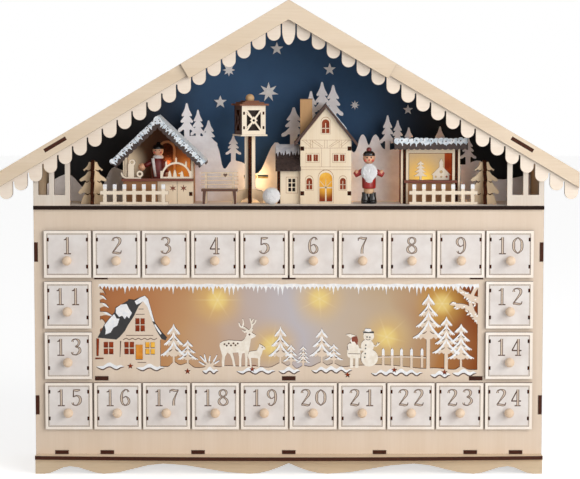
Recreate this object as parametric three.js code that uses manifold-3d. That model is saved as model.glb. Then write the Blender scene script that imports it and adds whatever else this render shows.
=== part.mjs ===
// Advent calendar: a house of laser-cut plywood with 24 drawers round a lit, fret-cut picture,
// and a lit village stage under a scalloped gable roof.
// Millimetres, +Z up, the front faces -Y. The origin is on the table, under the middle of the case.
import * as THREE from "three";
import { mergeVertices } from "three/addons/utils/BufferGeometryUtils.js";
import Module from "manifold-3d";

const wasm = await Module();
wasm.setup();

// Driving sizes of the case
const PLY = 3;
const COLUMNS = 10;
const COLUMN_PITCH = 39.1;
const ROW_PITCH = 40.7;
const LOWEST_ROW = 39.4; // base board to the middle of the lowest drawers
const HIGHEST_ROW = 35.5; // middle of the highest drawers to the top of the front panel
const TOP_ROW = 3; // rows are counted from 0 at the bottom
const CASE_MARGIN = 7.5; // last divider to the edge of the front panel
const CASE_DEPTH = 84; // front of the front panel to the back of the back panel
const SKIRT_HEIGHT = 12;
// The skirt's lower edge: crests and feet, as a share of the half width and a height
const WAVES = [[0, 8.6], [0.153, 0], [0.495, 8.2], [0.729, 0], [0.864, 6.1], [0.964, 0]];
const BOARD_BOW = 14; // how far the base board reaches out in the middle
const BOARD_LIP = 8; // and at its ends
const SKIRT_INSET = 3;
const SHELF_LIP = 2; // the stage floor's front edge stands out this far
const TAB = 10.4;
const SIDE_TAB = 15;
const SIDE_TAB_LOW = 32.5; // base board to the lower side tab
const SIDE_TAB_HIGH = 155.5;
const FIT = 0.2; // round a tab in its slot
const SEAT = 0.3; // between a piece and what it rests against on a slope
const WIRE_ROOM = 5; // behind the racks

// Driving sizes of a drawer
const FRONT_GAP = 1.5; // between the fronts of two drawers side by side
const FRONT_ROW_GAP = 3.1; // and of two drawers one above the other
const TRAY_ROOM = 5.1; // column pitch less the tray's width
const TRAY_ROW_ROOM = 7.1; // row pitch less the tray's height
const TRAY_WALL = 2.5;
const TRAY_END_ROOM = 5;
const TRAY_PLAY = 0.3; // under the tray
const TRAY_SIDE_PLAY = 0.4;
const KNOB_RADIUS = 3.5;
const KNOB_LENGTH = 8.5;
const KNOB_DROP = 4.8; // below the middle of the front

// Driving sizes of the picture
const PICTURE_BORDER = 5; // above and below
const PICTURE_SIDE = 4;
const SCREEN_SETBACK = 11;
const SCREEN_THICKNESS = 1;

// Driving sizes of the roof
const STAGE_HEIGHT = 162.5; // stage floor to the tip of the gable
const ROOF_SLOPE = THREE.MathUtils.degToRad(30.5);
const EAVE_OVERHANG = 27;
const ROOF_DROP = 2.8; // top edge of the fascia down to the roof board
const FASCIA_DEPTH = 10.7; // square to the slope
const CHEVRON_DEPTH = 13.4;
const CHEVRON_LENGTH = 91;
const SCALLOPS = 19; // whole scallops on each side
const CENTRE_POINT_HALF = 5.2; // half the width of the pointed scallop under the tip
const SCALLOP_GAP = 1.2;
const SCALLOP_REACH = 25.2; // gable edge straight down to a scallop's lowest point
const POINT_REACH = 35.3; // and to the point in the middle
const ROOF_TAB = 20;
const ROOF_TAB_AT = 216.7; // from the tip, along the slope
const WINDOW_SHEET = 29.5;
const PANE_WIDTH = 8.5;
const WINDOW_RAIL = 8.6; // below the panes

// Driving sizes of the stage
const FENCE_FRONT = 13;
const FENCE_PLY = 2;
const THIN = 2.5; // walls of the small houses
const HILLS_FRONT = 60;
const SKYLINE_HALF = 199.7; // half width that the hills' skyline is drawn for
const FIR_WIDTH = 24.4;
const FIR_HEIGHT = 35;
const FIR_MIDDLE = 24; // from the front panel back
const TREE_AT = 157.5;
const SNOWBALL_RADIUS = 7.2;

// Driving sizes of the light
const WIRE_RADIUS = 0.8;
const WIRE_INSET = 18.4; // the wire's way up, in from the wall beside the picture
const WIRE_BEND = 5; // sideways, where the wire turns up
const LAMP_RADIUS = 1.8;
const LAMP_LENGTH = 5;
const BATTERY_RADIUS = 7.1;
const BATTERY_LENGTH = 48.5;
const BATTERY_TIP = 1.5;
const BOX_WALL = 1.5;
const BATTERY_PLAY = 0.5;
const BOX_MIDDLE = 90; // above the base board
const BOX_LEFT = -36; // left end of the battery bay
const SWITCH_GAP = 8; // battery bay to the switch's bay
const COVER_PLAY = 0.4;
const SWITCH_TRAVEL = 4;
const SWITCH_NIB = 4;

const ARC_STEPS = 5;

// Worked out from the driving sizes; every Y is measured back from the front panel's face
const caseHalf = (COLUMNS / 2) * COLUMN_PITCH + CASE_MARGIN;
const baseTop = SKIRT_HEIGHT + PLY;
const frontWidth = COLUMN_PITCH - FRONT_GAP;
const frontHeight = ROW_PITCH - FRONT_ROW_GAP;
const trayWidth = COLUMN_PITCH - TRAY_ROOM;
const trayHeight = ROW_PITCH - TRAY_ROW_ROOM;
const panelTop = baseTop + LOWEST_ROW + TOP_ROW * ROW_PITCH + HIGHEST_ROW;
const stageTop = panelTop + PLY;
const tipZ = stageTop + STAGE_HEIGHT;
const backInner = CASE_DEPTH - PLY;
const rackBack = backInner - WIRE_ROOM;
const trayDepth = rackBack - TRAY_END_ROOM;
const columnX = (column) => (column - (COLUMNS - 1) / 2) * COLUMN_PITCH;
const rowZ = (row) => baseTop + LOWEST_ROW + row * ROW_PITCH;
const shelfTop = (row) => rowZ(row) - trayHeight / 2 - TRAY_PLAY;
const bayWall = (COLUMNS / 2 - 1) * COLUMN_PITCH; // middle of the walls beside the picture
const pictureHalf = bayWall - PLY / 2 - PICTURE_SIDE;
const pictureLow = shelfTop(1) + PICTURE_BORDER;
const pictureHigh = shelfTop(TOP_ROW) - PLY - PICTURE_BORDER;
const hillsBack = HILLS_FRONT + PLY;
const slopeSin = Math.sin(ROOF_SLOPE);
const slopeCos = Math.cos(ROOF_SLOPE);
const slopeTan = Math.tan(ROOF_SLOPE);
const gableEdge = (x) => tipZ - Math.abs(x) * slopeTan;
const roofUnder = (x) => gableEdge(x) - (ROOF_DROP + PLY) / slopeCos;

// Solids: conversions and the basic cuts of plywood
function toSolid(geometry) {
  const bare = new THREE.BufferGeometry();
  bare.setAttribute("position", geometry.getAttribute("position"));
  bare.setIndex(geometry.index);
  const merged = mergeVertices(bare, 1e-4);
  const corners = merged.index.array;
  const kept = [];
  for (let i = 0; i < corners.length; i += 3) {
    const [a, b, c] = [corners[i], corners[i + 1], corners[i + 2]];
    if (a !== b && b !== c && c !== a) kept.push(a, b, c);
  }
  const mesh = new wasm.Mesh({
    numProp: 3,
    vertProperties: merged.attributes.position.array,
    triVerts: new Uint32Array(kept),
  });
  return new wasm.Manifold(mesh);
}

const joined = (...solids) => solids.reduce((whole, next) => whole.add(next));
const cut = (whole, ...tools) => tools.reduce((left, tool) => left.subtract(tool), whole);
const outlineOf = (points) => new THREE.Shape(points.map(([x, y]) => new THREE.Vector2(x, y)));

// An outline given a thickness; place turns (x, y, near or far) into a point of the part.
function thickened(outline, near, far, place) {
  const options = { depth: 1, bevelEnabled: false, curveSegments: ARC_STEPS };
  const geometry = new THREE.ExtrudeGeometry(outline, options);
  const points = geometry.getAttribute("position");
  for (let i = 0; i < points.count; i++) {
    const level = points.getZ(i) > 0.5 ? near : far;
    points.setXYZ(i, ...place(points.getX(i), points.getY(i), level));
  }
  return toSolid(geometry);
}

// A sheet facing the front, from y = front to y = back: the outline's x and y are X and Z.
const facing = (outline, front, back) => thickened(outline, front, back, (x, y, level) => [x, level, y]);
// A sheet lying flat, from z = low to z = high: the outline's x and y are X and Y.
const lying = (outline, low, high) => thickened(outline, high, low, (x, y, level) => [x, y, level]);
// A sheet standing fore and aft, from x = left to x = right: the outline's x and y are Y and Z.
const sideways = (outline, left, right) => thickened(outline, right, left, (x, y, level) => [level, x, y]);

function box(x0, x1, y0, y1, z0, z1) {
  const corners = [[x0, z0], [x1, z0], [x1, z1], [x0, z1]];
  return facing(outlineOf(corners), y0, y1);
}

// A turned piece on the Z axis, from its profile of [radius, height].
function turned(profile, sides) {
  const points = profile.map(([radius, height]) => new THREE.Vector2(radius, height));
  return toSolid(new THREE.LatheGeometry(points, sides).rotateX(Math.PI / 2));
}

function ball(radius, sides) {
  return toSolid(new THREE.SphereGeometry(radius, sides, Math.max(4, Math.round(sides / 2))));
}

function disc(x, y, radius) {
  const outline = new THREE.Shape();
  outline.absarc(x, y, radius, 0, 2 * Math.PI, false);
  return outline;
}

// A straight bar in a sheet, from one point to another, as wide as given at each end.
function barOutline([x0, y0], [x1, y1], startWidth, endWidth = startWidth) {
  const length = Math.hypot(x1 - x0, y1 - y0);
  const across = [(y0 - y1) / length / 2, (x1 - x0) / length / 2];
  return outlineOf([
    [x0 - across[0] * startWidth, y0 - across[1] * startWidth],
    [x1 - across[0] * endWidth, y1 - across[1] * endWidth],
    [x1 + across[0] * endWidth, y1 + across[1] * endWidth],
    [x0 + across[0] * startWidth, y0 + across[1] * startWidth],
  ]);
}

// A window with a round top: lower left corner, width, height of its straight sides.
function archOutline(x, y, width, straight) {
  const outline = new THREE.Shape();
  outline.moveTo(x, y);
  outline.lineTo(x + width, y);
  outline.lineTo(x + width, y + straight);
  outline.absarc(x + width / 2, y + straight, width / 2, 0, Math.PI, false);
  return outline;
}

function starOutline(x, y, radius, points, waist) {
  const corners = [];
  for (let i = 0; i < 2 * points; i++) {
    const reach = i % 2 ? radius * waist : radius;
    const turn = Math.PI / 2 + (i * Math.PI) / points;
    corners.push([x + reach * Math.cos(turn), y + reach * Math.sin(turn)]);
  }
  return outlineOf(corners);
}

// A fir: drooping branch tips that get shorter towards a narrow top.
function firOutline(x, foot, width, height, tiers, trunk = 0.12, stem = 0.1) {
  const right = [[(width * stem) / 2, 0]];
  const rise = (height * (1 - trunk)) / (tiers + 0.6);
  for (let tier = 0; tier < tiers; tier++) {
    const reach = (width / 2) * (1 - (0.72 * tier) / tiers);
    const level = height * trunk + tier * rise;
    right.push([reach * 0.45, level + rise * 0.35], [reach, level]);
  }
  right.push([width * 0.07, height * trunk + (tiers - 0.2) * rise]);
  const left = right.map(([dx, dy]) => [-dx, dy]).reverse();
  const all = [...right, [0, height], ...left];
  return outlineOf(all.map(([dx, dy]) => [x + dx, foot + dy]));
}

// Materials
const paint = (color, roughness, metalness = 0) =>
  new THREE.MeshStandardMaterial({ color, roughness, metalness });
const birch = paint(0xdcc4a6, 0.7);
const whitewashed = paint(0xe0dad5, 0.75);
const brownStain = paint(0x4a3226, 0.75);
const nightBlue = paint(0x2a4767, 0.8);
const snowWhite = paint(0xd8d8d6, 0.8);
const redCoat = paint(0xa01d1a, 0.45);
const maroonCoat = paint(0x6e1f22, 0.5);
const frostedFilm = paint(0xe8cfae, 0.5);
const whiteFur = paint(0xf2f2f0, 1);
const blackPlastic = paint(0x202020, 0.5);
const batteryShell = paint(0x8c8f92, 0.3, 0.8);
const warmWire = paint(0xc8b48a, 0.4);

const calendar = new THREE.Group();
// The part's origin is under the middle of its depth, between the bow and the back.
calendar.position.y = (BOARD_BOW - CASE_DEPTH) / 2;

function addPiece(name, solid, material, place = calendar) {
  const made = solid.getMesh();
  const geometry = new THREE.BufferGeometry();
  geometry.setAttribute("position", new THREE.BufferAttribute(made.vertProperties, 3));
  geometry.setIndex(new THREE.BufferAttribute(made.triVerts, 1));
  geometry.computeVertexNormals();
  const piece = new THREE.Mesh(geometry, material);
  piece.name = name;
  place.add(piece);
  return piece;
}

// Base: the bow-front board with the case floor on it, and the wavy skirt below
function baseBoard() {
  const bowed = [[caseHalf, CASE_DEPTH], [-caseHalf, CASE_DEPTH]];
  const steps = 12;
  for (let i = 0; i <= steps; i++) {
    const share = (2 * i) / steps - 1;
    bowed.push([share * caseHalf, -BOARD_LIP - (BOARD_BOW - BOARD_LIP) * (1 - share * share)]);
  }
  const floor = box(PLY - caseHalf, caseHalf - PLY, PLY, backInner, baseTop - 0.5, baseTop + PLY);
  const tabs = floorTabs().map((x) =>
    box(x - TAB / 2, x + TAB / 2, 0, PLY + 1, baseTop - 0.5, baseTop + PLY));
  return joined(lying(outlineOf(bowed), SKIRT_HEIGHT, baseTop), floor, ...tabs);
}

function floorTabs() {
  const outer = caseHalf - 2 * TAB;
  return [-1, -0.8, -0.4, 0, 0.4, 0.8, 1].map((share) => share * outer);
}

// The skirt's lower edge from the middle to the right, as [x, height above the table].
function waveEdge() {
  const steps = 4;
  const edge = [[0, WAVES[0][1]]];
  for (let i = 1; i < WAVES.length; i++) {
    const [[fromX, fromHeight], [toX, toHeight]] = [WAVES[i - 1], WAVES[i]];
    for (let j = 1; j <= steps; j++) {
      const share = j / steps;
      // The middle crest is a sharp cusp; the others are round.
      const eased = i === 1 ? Math.sin((share * Math.PI) / 2) : 0.5 - 0.5 * Math.cos(share * Math.PI);
      edge.push([(fromX + (toX - fromX) * share) * caseHalf, fromHeight + (toHeight - fromHeight) * eased]);
    }
  }
  return edge;
}

function baseSkirt() {
  const front = SKIRT_INSET - BOARD_LIP;
  const right = [...waveEdge(), [caseHalf, 0], [caseHalf, SKIRT_HEIGHT]];
  const left = right.slice(1).map(([x, z]) => [-x, z]).reverse();
  const edge = [...left, ...right];
  const strip = facing(outlineOf(edge), front, front + PLY);
  const side = (left) => box(left, left + PLY, front + 1, CASE_DEPTH, 0, SKIRT_HEIGHT);
  const back = box(-caseHalf, caseHalf, backInner, CASE_DEPTH, SKIRT_HEIGHT / 3, SKIRT_HEIGHT);
  return joined(strip, side(-caseHalf), side(caseHalf - PLY), back);
}

addPiece("base_board", baseBoard(), birch);
addPiece("base_skirt", baseSkirt(), birch);

// Where the drawers are, in the order of their numbers
function drawerPlaces() {
  const places = [];
  for (let column = 0; column < COLUMNS; column++) places.push([column, TOP_ROW]);
  for (const row of [2, 1]) places.push([0, row], [COLUMNS - 1, row]);
  for (let column = 0; column < COLUMNS; column++) places.push([column, 0]);
  return places;
}

// Front panel: one sheet with the drawer openings, tab slots and the fret-cut picture
function shelfTabs(row) {
  const reach = bayWall - PLY / 2 - TAB / 2;
  return [-reach, 0, reach].map((x) => ({ x, low: shelfTop(row) - PLY }));
}

function frontPanel() {
  const whole = box(-caseHalf, caseHalf, 0, PLY, baseTop, panelTop);
  const through = (x0, x1, z0, z1) => box(x0, x1, -1, PLY + 1, z0, z1);
  const half = trayWidth / 2 + TRAY_SIDE_PLAY;
  const openings = drawerPlaces().map(([column, row]) => {
    const [x, z] = [columnX(column), rowZ(row)];
    return through(x - half, x + half, shelfTop(row), z + trayHeight / 2 + TRAY_SIDE_PLAY);
  });
  const picture = through(-pictureHalf, pictureHalf, pictureLow, pictureHigh);
  const slots = [TOP_ROW, 1].flatMap((row) =>
    shelfTabs(row).map(({ x, low }) =>
      through(x - TAB / 2 - FIT, x + TAB / 2 + FIT, low - FIT, low + PLY + FIT)),
  );
  const floorSlots = floorTabs().map((x) =>
    through(x - TAB / 2 - FIT, x + TAB / 2 + FIT, baseTop - 1, baseTop + PLY + FIT));
  const panel = cut(whole, ...openings, picture, ...slots, ...floorSlots, ...edgeSlots(-1, PLY + 1));
  const field = box(-bayWall, bayWall, -1, PLY + 1, shelfTop(1), shelfTop(TOP_ROW));
  return joined(panel, joined(...picturePieces()).intersect(field));
}

// The notches for the side walls' tabs, in the edges of the front and back panels.
function edgeSlots(front, back) {
  return [-1, 1].flatMap((side) =>
    [SIDE_TAB_LOW, SIDE_TAB_HIGH].map((low) => {
      const [near, far] = [caseHalf - PLY - FIT, caseHalf + 1].map((x) => side * x);
      const [z0, z1] = [baseTop + low - FIT, baseTop + low + SIDE_TAB + FIT];
      return box(Math.min(near, far), Math.max(near, far), front, back, z0, z1);
    }),
  );
}

// The picture: a cottage, firs, deer, a child with a snowman, a fence, boughs and icicles.
// Each motif grows from the ground or the edge, so the sheet stays in one piece.
function picturePieces() {
  const sheet = (outline) => facing(outline, 0, PLY);
  const at = (x, h) => [x, pictureLow + h];
  const bar = (x0, h0, x1, h1, w0, w1) => sheet(barOutline(at(x0, h0), at(x1, h1), w0, w1));
  const fir = (x, h, width, height, tiers, trunk) =>
    sheet(firOutline(x, pictureLow + h, width, height, tiers, trunk));

  function ground() {
    const banks = [[-1, 5], [-0.72, 5.5], [-0.5, 3], [-0.36, 5.5], [-0.1, 4.5], [0.16, 3.5], [0.38, 6.5]];
    banks.push([0.52, 6], [0.66, 3.2], [0.86, 3], [1, 2]);
    const outline = new THREE.Shape();
    outline.moveTo(-pictureHalf - 1, pictureLow - 1);
    const top = banks.map(([share, h]) => new THREE.Vector2(share * (pictureHalf + 1), pictureLow + h));
    const curve = new THREE.SplineCurve(top).getPoints(2 * top.length);
    curve.forEach((point) => outline.lineTo(point.x, point.y));
    outline.lineTo(pictureHalf + 1, pictureLow - 1);
    return sheet(outline);
  }

  function cottage() {
    const left = -pictureHalf - 0.5;
    const wall = [[0, 1], [0, 27], [19, 49], [31, 56.5], [35.5, 60], [39, 57], [47, 37], [57, 25]];
    wall.push([58, 22], [54.5, 21.5], [53.5, 23], [53.5, 1]);
    const body = sheet(outlineOf(wall.map(([dx, h]) => at(left + dx, h))));
    const panes = [[5.5, 12, 7.5, 9], [22, 12, 7.5, 9], [38, 12, 7.5, 9]];
    panes.push([31, 7, 5.8, 12], [30, 32, 7.5, 10]);
    const holes = panes.map(([dx, h, wide, high]) =>
      box(left + dx, left + dx + wide, -1, PLY + 1, pictureLow + h, pictureLow + h + high));
    return cut(body, ...holes);
  }

  function deer(x, size, antlers) {
    const part = (x0, h0, x1, h1, w0, w1) =>
      bar(x + x0 * size, 3 + h0 * size, x + x1 * size, 3 + h1 * size, w0 * size, w1 * size);
    const body = [[1, 12], [0, 16], [2, 20], [6, 21.5], [15, 20.5], [19, 22], [20.5, 17], [18, 13]];
    body.push([9, 12.5]);
    const pieces = [sheet(outlineOf(body.map(([dx, h]) => at(x + dx * size, 3 + h * size))))];
    pieces.push(part(2.5, 0, 3, 14, 1.6, 3.6), part(8.5, 0, 6.5, 14, 1.5, 3));
    pieces.push(part(14, 0, 14.5, 14, 1.5, 3), part(19.5, 0, 17, 15, 1.5, 3));
    pieces.push(part(17.5, 18, 21.5, 28, 5.5, 3.4), part(20, 28.5, 26, 26, 3.8, 2));
    pieces.push(part(20.5, 28, 18.8, 31.5, 1.5, 1));
    if (antlers) {
      pieces.push(part(21.5, 28, 17, 33.5, 1.5, 1.2), part(17, 33, 18, 38.5, 1.4, 1));
      pieces.push(part(17.4, 33.5, 14.6, 36.5, 1.2, 1), part(22, 28.5, 25.6, 32.5, 1.5, 1.2));
      pieces.push(part(25.4, 32, 24.6, 39, 1.4, 1), part(25, 33.5, 28, 37, 1.2, 1));
    }
    return pieces;
  }

  function snowman(x) {
    const parts = [[0, 11, 7.3], [0.5, 22, 5.2], [0.5, 30.5, 4]];
    const balls = parts.map(([dx, h, radius]) => sheet(disc(x + dx, pictureLow + h, radius)));
    const hat = [bar(x - 4.5, 33.5, x + 5.5, 34, 1.6), bar(x - 2.8, 35.5, x + 3.6, 35.9, 4)];
    const arms = [bar(x + 4, 23, x + 11, 27, 1.2, 0.9), bar(x - 3.5, 24, x - 8, 27.5, 1.2, 0.9)];
    return [...balls, ...hat, ...arms];
  }

  function child(x) {
    const coat = [[-4.5, 9], [-4, 16], [-2.5, 23], [3, 23], [4.5, 16], [5, 9]];
    const body = sheet(outlineOf(coat.map(([dx, h]) => at(x + dx, h))));
    const legs = [bar(x - 2.5, 3, x - 2, 10, 2.4), bar(x + 2.5, 3, x + 2, 10, 2.4)];
    const head = sheet(disc(x + 0.5, pictureLow + 26.5, 4));
    const hat = bar(x + 1.5, 29, x - 5.5, 32.5, 6, 1.2);
    const arm = bar(x + 1, 20, x + 9.5, 17.5, 2.6, 2);
    return [body, ...legs, head, hat, arm];
  }

  function fence(x, pickets, pitch) {
    const rail = bar(x - 5, 10.5, x + pickets * pitch, 9.5, 1.4);
    const posts = [];
    for (let i = 0; i < pickets; i++) posts.push(bar(x + i * pitch, 2, x + i * pitch, 18 - 0.2 * i, 2));
    return [rail, ...posts];
  }

  function icicles() {
    const edge = [[pictureHalf + 1, pictureHigh + 1], [-pictureHalf - 1, pictureHigh + 1]];
    const count = Math.round((2 * pictureHalf) / 12);
    const pitch = (2 * pictureHalf) / count;
    edge.push([-pictureHalf - 1, pictureHigh - 1]);
    for (let i = 0; i < count; i++) {
      const x = -pictureHalf + i * pitch;
      const long = 4 + 4 * Math.abs(Math.sin(i * 2.4));
      edge.push([x + pitch * 0.15, pictureHigh - 1.5], [x + pitch * 0.35, pictureHigh - long]);
      edge.push([x + pitch * 0.6, pictureHigh - 1.8], [x + pitch * 0.78, pictureHigh - long * 0.6]);
    }
    edge.push([pictureHalf + 1, pictureHigh - 1]);
    return sheet(outlineOf(edge));
  }

  function boughs() {
    const right = pictureHalf + 1;
    const left = -right;
    const pieces = [bar(right, 40, right - 14, 51, 3.4, 2.4), bar(right - 13, 50, right - 30, 52, 3, 1.2)];
    pieces.push(bar(right, 56, right - 21, 68, 4.5, 3), bar(right - 5, 44, right - 6, 66, 3.5, 3));
    for (let i = 0; i < 3; i++) {
      const x = right - 9 - i * 7;
      pieces.push(bar(x, 49 + i * 0.8, x - 4, 43 + i * 1.6, 2.4, 1));
      pieces.push(bar(x, 49 + i * 0.8, x - 4.5, 56 - i * 0.6, 2.4, 1));
    }
    for (let i = 0; i < 4; i++) {
      const h = 61 - i * 7.5;
      pieces.push(bar(left, h, left + 8 + i * 1.6, h - 4.5, 3.2, 1.2));
    }
    return pieces;
  }

  const firs = [fir(-91.5, 3, 20, 34.5, 3), fir(-80, 3, 14, 21, 2), fir(-6.8, 3, 19, 32, 3)];
  firs.push(fir(3.5, 3, 12, 18, 2), fir(13, 3, 8, 16, 2), fir(27, 2.5, 19, 31, 3), fir(37, 3, 12, 18, 2));
  firs.push(fir(112.3, 2, 26, 59.5, 4, 0.33), fir(126, 2, 20, 41, 3, 0.2), fir(137, 1, 20, 36, 3));
  const twigs = [[-7, 12], [-3.5, 15], [0, 12.5], [3.5, 14.5], [7, 11]].map(([dx, h]) =>
    bar(-64 + dx * 0.3, 3, -64 + dx, h, 1.8, 1));
  return [
    ground(), cottage(), ...firs, ...twigs, ...deer(-53, 0.95, true), ...deer(-32, 0.58, false),
    ...child(49.5), ...snowman(65), ...fence(77, 5, 7.6), icicles(), ...boughs(),
  ];
}

addPiece("front_panel", frontPanel(), birch);

// Case walls
function sideWall(left) {
  const top = roofUnder(caseHalf) - SEAT;
  const wall = box(left, left + PLY, PLY, backInner, baseTop, top);
  const tabs = [SIDE_TAB_LOW, SIDE_TAB_HIGH].map((low) =>
    box(left, left + PLY, 0, CASE_DEPTH, baseTop + low, baseTop + low + SIDE_TAB));
  return joined(wall, ...tabs);
}

addPiece("left_side_wall", sideWall(-caseHalf), birch);
addPiece("right_side_wall", sideWall(caseHalf - PLY), birch);

// The back: one house-shaped sheet with the battery opening and the switch slot
const boxFloorZ = baseTop + BOX_MIDDLE;
const bay = {
  left: BOX_LEFT,
  right: BOX_LEFT + BATTERY_LENGTH + BATTERY_TIP + 2 * BATTERY_PLAY,
  low: boxFloorZ - 2 * BATTERY_RADIUS - 2 * BATTERY_PLAY,
  high: boxFloorZ + 2 * BATTERY_RADIUS + 2 * BATTERY_PLAY,
  front: backInner - 2 * BATTERY_RADIUS - 5,
};
const switchBay = { left: bay.right + SWITCH_GAP, plateWidth: 8, plateHeight: 9, plateThickness: 3, play: 0.5 };
switchBay.right = switchBay.left + switchBay.plateWidth + SWITCH_TRAVEL + 2 * switchBay.play;
switchBay.low = boxFloorZ - switchBay.plateHeight / 2 - switchBay.play;
switchBay.high = boxFloorZ + switchBay.plateHeight / 2 + switchBay.play;
switchBay.front = backInner - switchBay.plateThickness - 4;
switchBay.nibLeft = switchBay.left + switchBay.play + (switchBay.plateWidth - SWITCH_NIB) / 2;

function backPanel() {
  const eaves = roofUnder(caseHalf) - SEAT;
  const house = [[-caseHalf, baseTop], [caseHalf, baseTop], [caseHalf, eaves]];
  house.push([0, roofUnder(0) - SEAT], [-caseHalf, eaves]);
  const whole = facing(outlineOf(house), backInner, CASE_DEPTH);
  const through = (x0, x1, z0, z1) => box(x0, x1, backInner - 1, CASE_DEPTH + 1, z0, z1);
  const batteryHole = through(bay.left, bay.right, bay.low, bay.high);
  const slotLeft = switchBay.nibLeft - switchBay.play;
  const slotRight = slotLeft + SWITCH_NIB + SWITCH_TRAVEL + 2 * switchBay.play;
  const slotHalf = SWITCH_NIB / 2 + switchBay.play;
  const switchSlot = through(slotLeft, slotRight, boxFloorZ - slotHalf, boxFloorZ + slotHalf);
  return cut(whole, batteryHole, switchSlot, ...edgeSlots(backInner - 1, CASE_DEPTH + 1));
}

addPiece("back_panel", backPanel(), nightBlue);

// Stage floor: it lies on the walls of the drawer case and its front edge stands out a little
const wireHole = { x: bayWall - WIRE_INSET, half: WIRE_RADIUS + 0.6, depth: WIRE_ROOM };

function stageFloor() {
  const board = box(PLY - caseHalf, caseHalf - PLY, PLY - 1, backInner, panelTop, stageTop);
  const lip = box(-caseHalf, caseHalf, -SHELF_LIP, PLY, panelTop, stageTop);
  const { x, half, depth } = wireHole;
  const notch = box(x - half, x + half, backInner - depth, backInner + 1, panelTop - 1, stageTop + 1);
  return cut(joined(board, lip), notch);
}

addPiece("stage_floor", stageFloor(), whitewashed);

// Racks: the shelves and dividers that carry the drawers
function dividers(low, high) {
  const walls = [];
  for (let i = 0; i <= COLUMNS; i++) {
    const x = (i - COLUMNS / 2) * COLUMN_PITCH;
    walls.push(box(x - PLY / 2, x + PLY / 2, PLY, rackBack, low, high));
  }
  return walls;
}

const shelf = (row, x0, x1) => box(x0, x1, PLY, rackBack, shelfTop(row) - PLY, shelfTop(row));

function tabsOf(row) {
  return shelfTabs(row).map(({ x, low }) => box(x - TAB / 2, x + TAB / 2, 0, PLY + 1, low, low + PLY));
}

function upperRack() {
  const inner = caseHalf - PLY;
  const walls = dividers(shelfTop(TOP_ROW) - 1, panelTop);
  return joined(shelf(TOP_ROW, -inner, inner), ...walls, ...tabsOf(TOP_ROW));
}

function lowerRack() {
  const inner = caseHalf - PLY;
  const bayTop = shelfTop(TOP_ROW) - PLY;
  const outerWall = (COLUMNS / 2) * COLUMN_PITCH;
  const walls = dividers(shelfTop(0) - 1, shelfTop(1) - 1);
  for (const x of [-outerWall, -bayWall, bayWall, outerWall]) {
    walls.push(box(x - PLY / 2, x + PLY / 2, PLY, rackBack, shelfTop(1) - 1, bayTop));
  }
  const sideShelves = [shelf(2, -inner, -bayWall), shelf(2, bayWall, inner)];
  const floors = [shelf(0, -inner, inner), shelf(1, -inner, inner)];
  return joined(...floors, ...walls, ...sideShelves, ...tabsOf(1));
}

addPiece("upper_rack", upperRack(), birch);
addPiece("lower_rack", lowerRack(), birch);

// The frosted screen between the picture and the lamps, held by the walls beside the picture
function pictureScreen() {
  const half = bayWall - PLY / 2 - SEAT;
  const front = PLY + SCREEN_SETBACK;
  const [low, high] = [shelfTop(1), shelfTop(TOP_ROW) - PLY - SEAT];
  return box(-half, half, front, front + SCREEN_THICKNESS, low, high);
}

addPiece("picture_screen", pictureScreen(), frostedFilm);

// A drawer: a square front that covers its opening, a tray behind it and a turned knob
function drawer() {
  const [half, tall] = [frontWidth / 2, frontHeight / 2];
  const front = box(-half, half, -PLY, 0, -tall, tall);
  const [side, high] = [trayWidth / 2, trayHeight / 2];
  const tray = box(-side, side, -1, trayDepth, -high, high);
  const inside = side - TRAY_WALL;
  const hollow = box(-inside, inside, 0, trayDepth - TRAY_WALL, TRAY_WALL - high, high + 1);
  return joined(cut(joined(front, tray), hollow), knob());
}

function knob() {
  const profile = [[0, -1], [2.3, -1], [1.9, KNOB_LENGTH * 0.3], [KNOB_RADIUS, KNOB_LENGTH * 0.6]];
  profile.push([KNOB_RADIUS * 0.85, KNOB_LENGTH * 0.9], [0, KNOB_LENGTH]);
  return turned(profile, 8).rotate([90, 0, 0]).translate([0, -PLY, -KNOB_DROP]);
}

drawerPlaces().forEach(([column, row], index) => {
  const name = "drawer_" + String(index + 1).padStart(2, "0");
  addPiece(name, drawer(), whitewashed).position.set(columnX(column), 0, rowZ(row));
});

// Battery box behind the picture: it opens to the back, with the switch at its side
function batteryBox() {
  const front = bay.front - BOX_WALL;
  const whole = box(bay.left - BOX_WALL, switchBay.right + BOX_WALL, front, backInner,
    bay.low - BOX_WALL, bay.high + BOX_WALL);
  const batteryRoom = box(bay.left, bay.right, bay.front, backInner + 1, bay.low, bay.high);
  const switchRoom = box(switchBay.left, switchBay.right, switchBay.front, backInner + 1,
    switchBay.low, switchBay.high);
  return cut(whole, batteryRoom, switchRoom);
}

function battery() {
  const half = BATTERY_LENGTH / 2;
  const profile = [[0, -half], [BATTERY_RADIUS, -half], [BATTERY_RADIUS, half], [2.7, half]];
  profile.push([2.7, half + BATTERY_TIP], [0, half + BATTERY_TIP]);
  return turned(profile, 16).rotate([0, 90, 0]);
}

function batteryCover() {
  const [low, high] = [bay.low + COVER_PLAY, bay.high - COVER_PLAY];
  const [left, right] = [bay.left + COVER_PLAY, bay.right - COVER_PLAY];
  const plate = box(left, right, backInner + COVER_PLAY, CASE_DEPTH, low, high);
  const grip = box(-16, -4, CASE_DEPTH - 1, CASE_DEPTH + 1, high - 5, high - 2);
  return cut(plate, grip);
}

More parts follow.
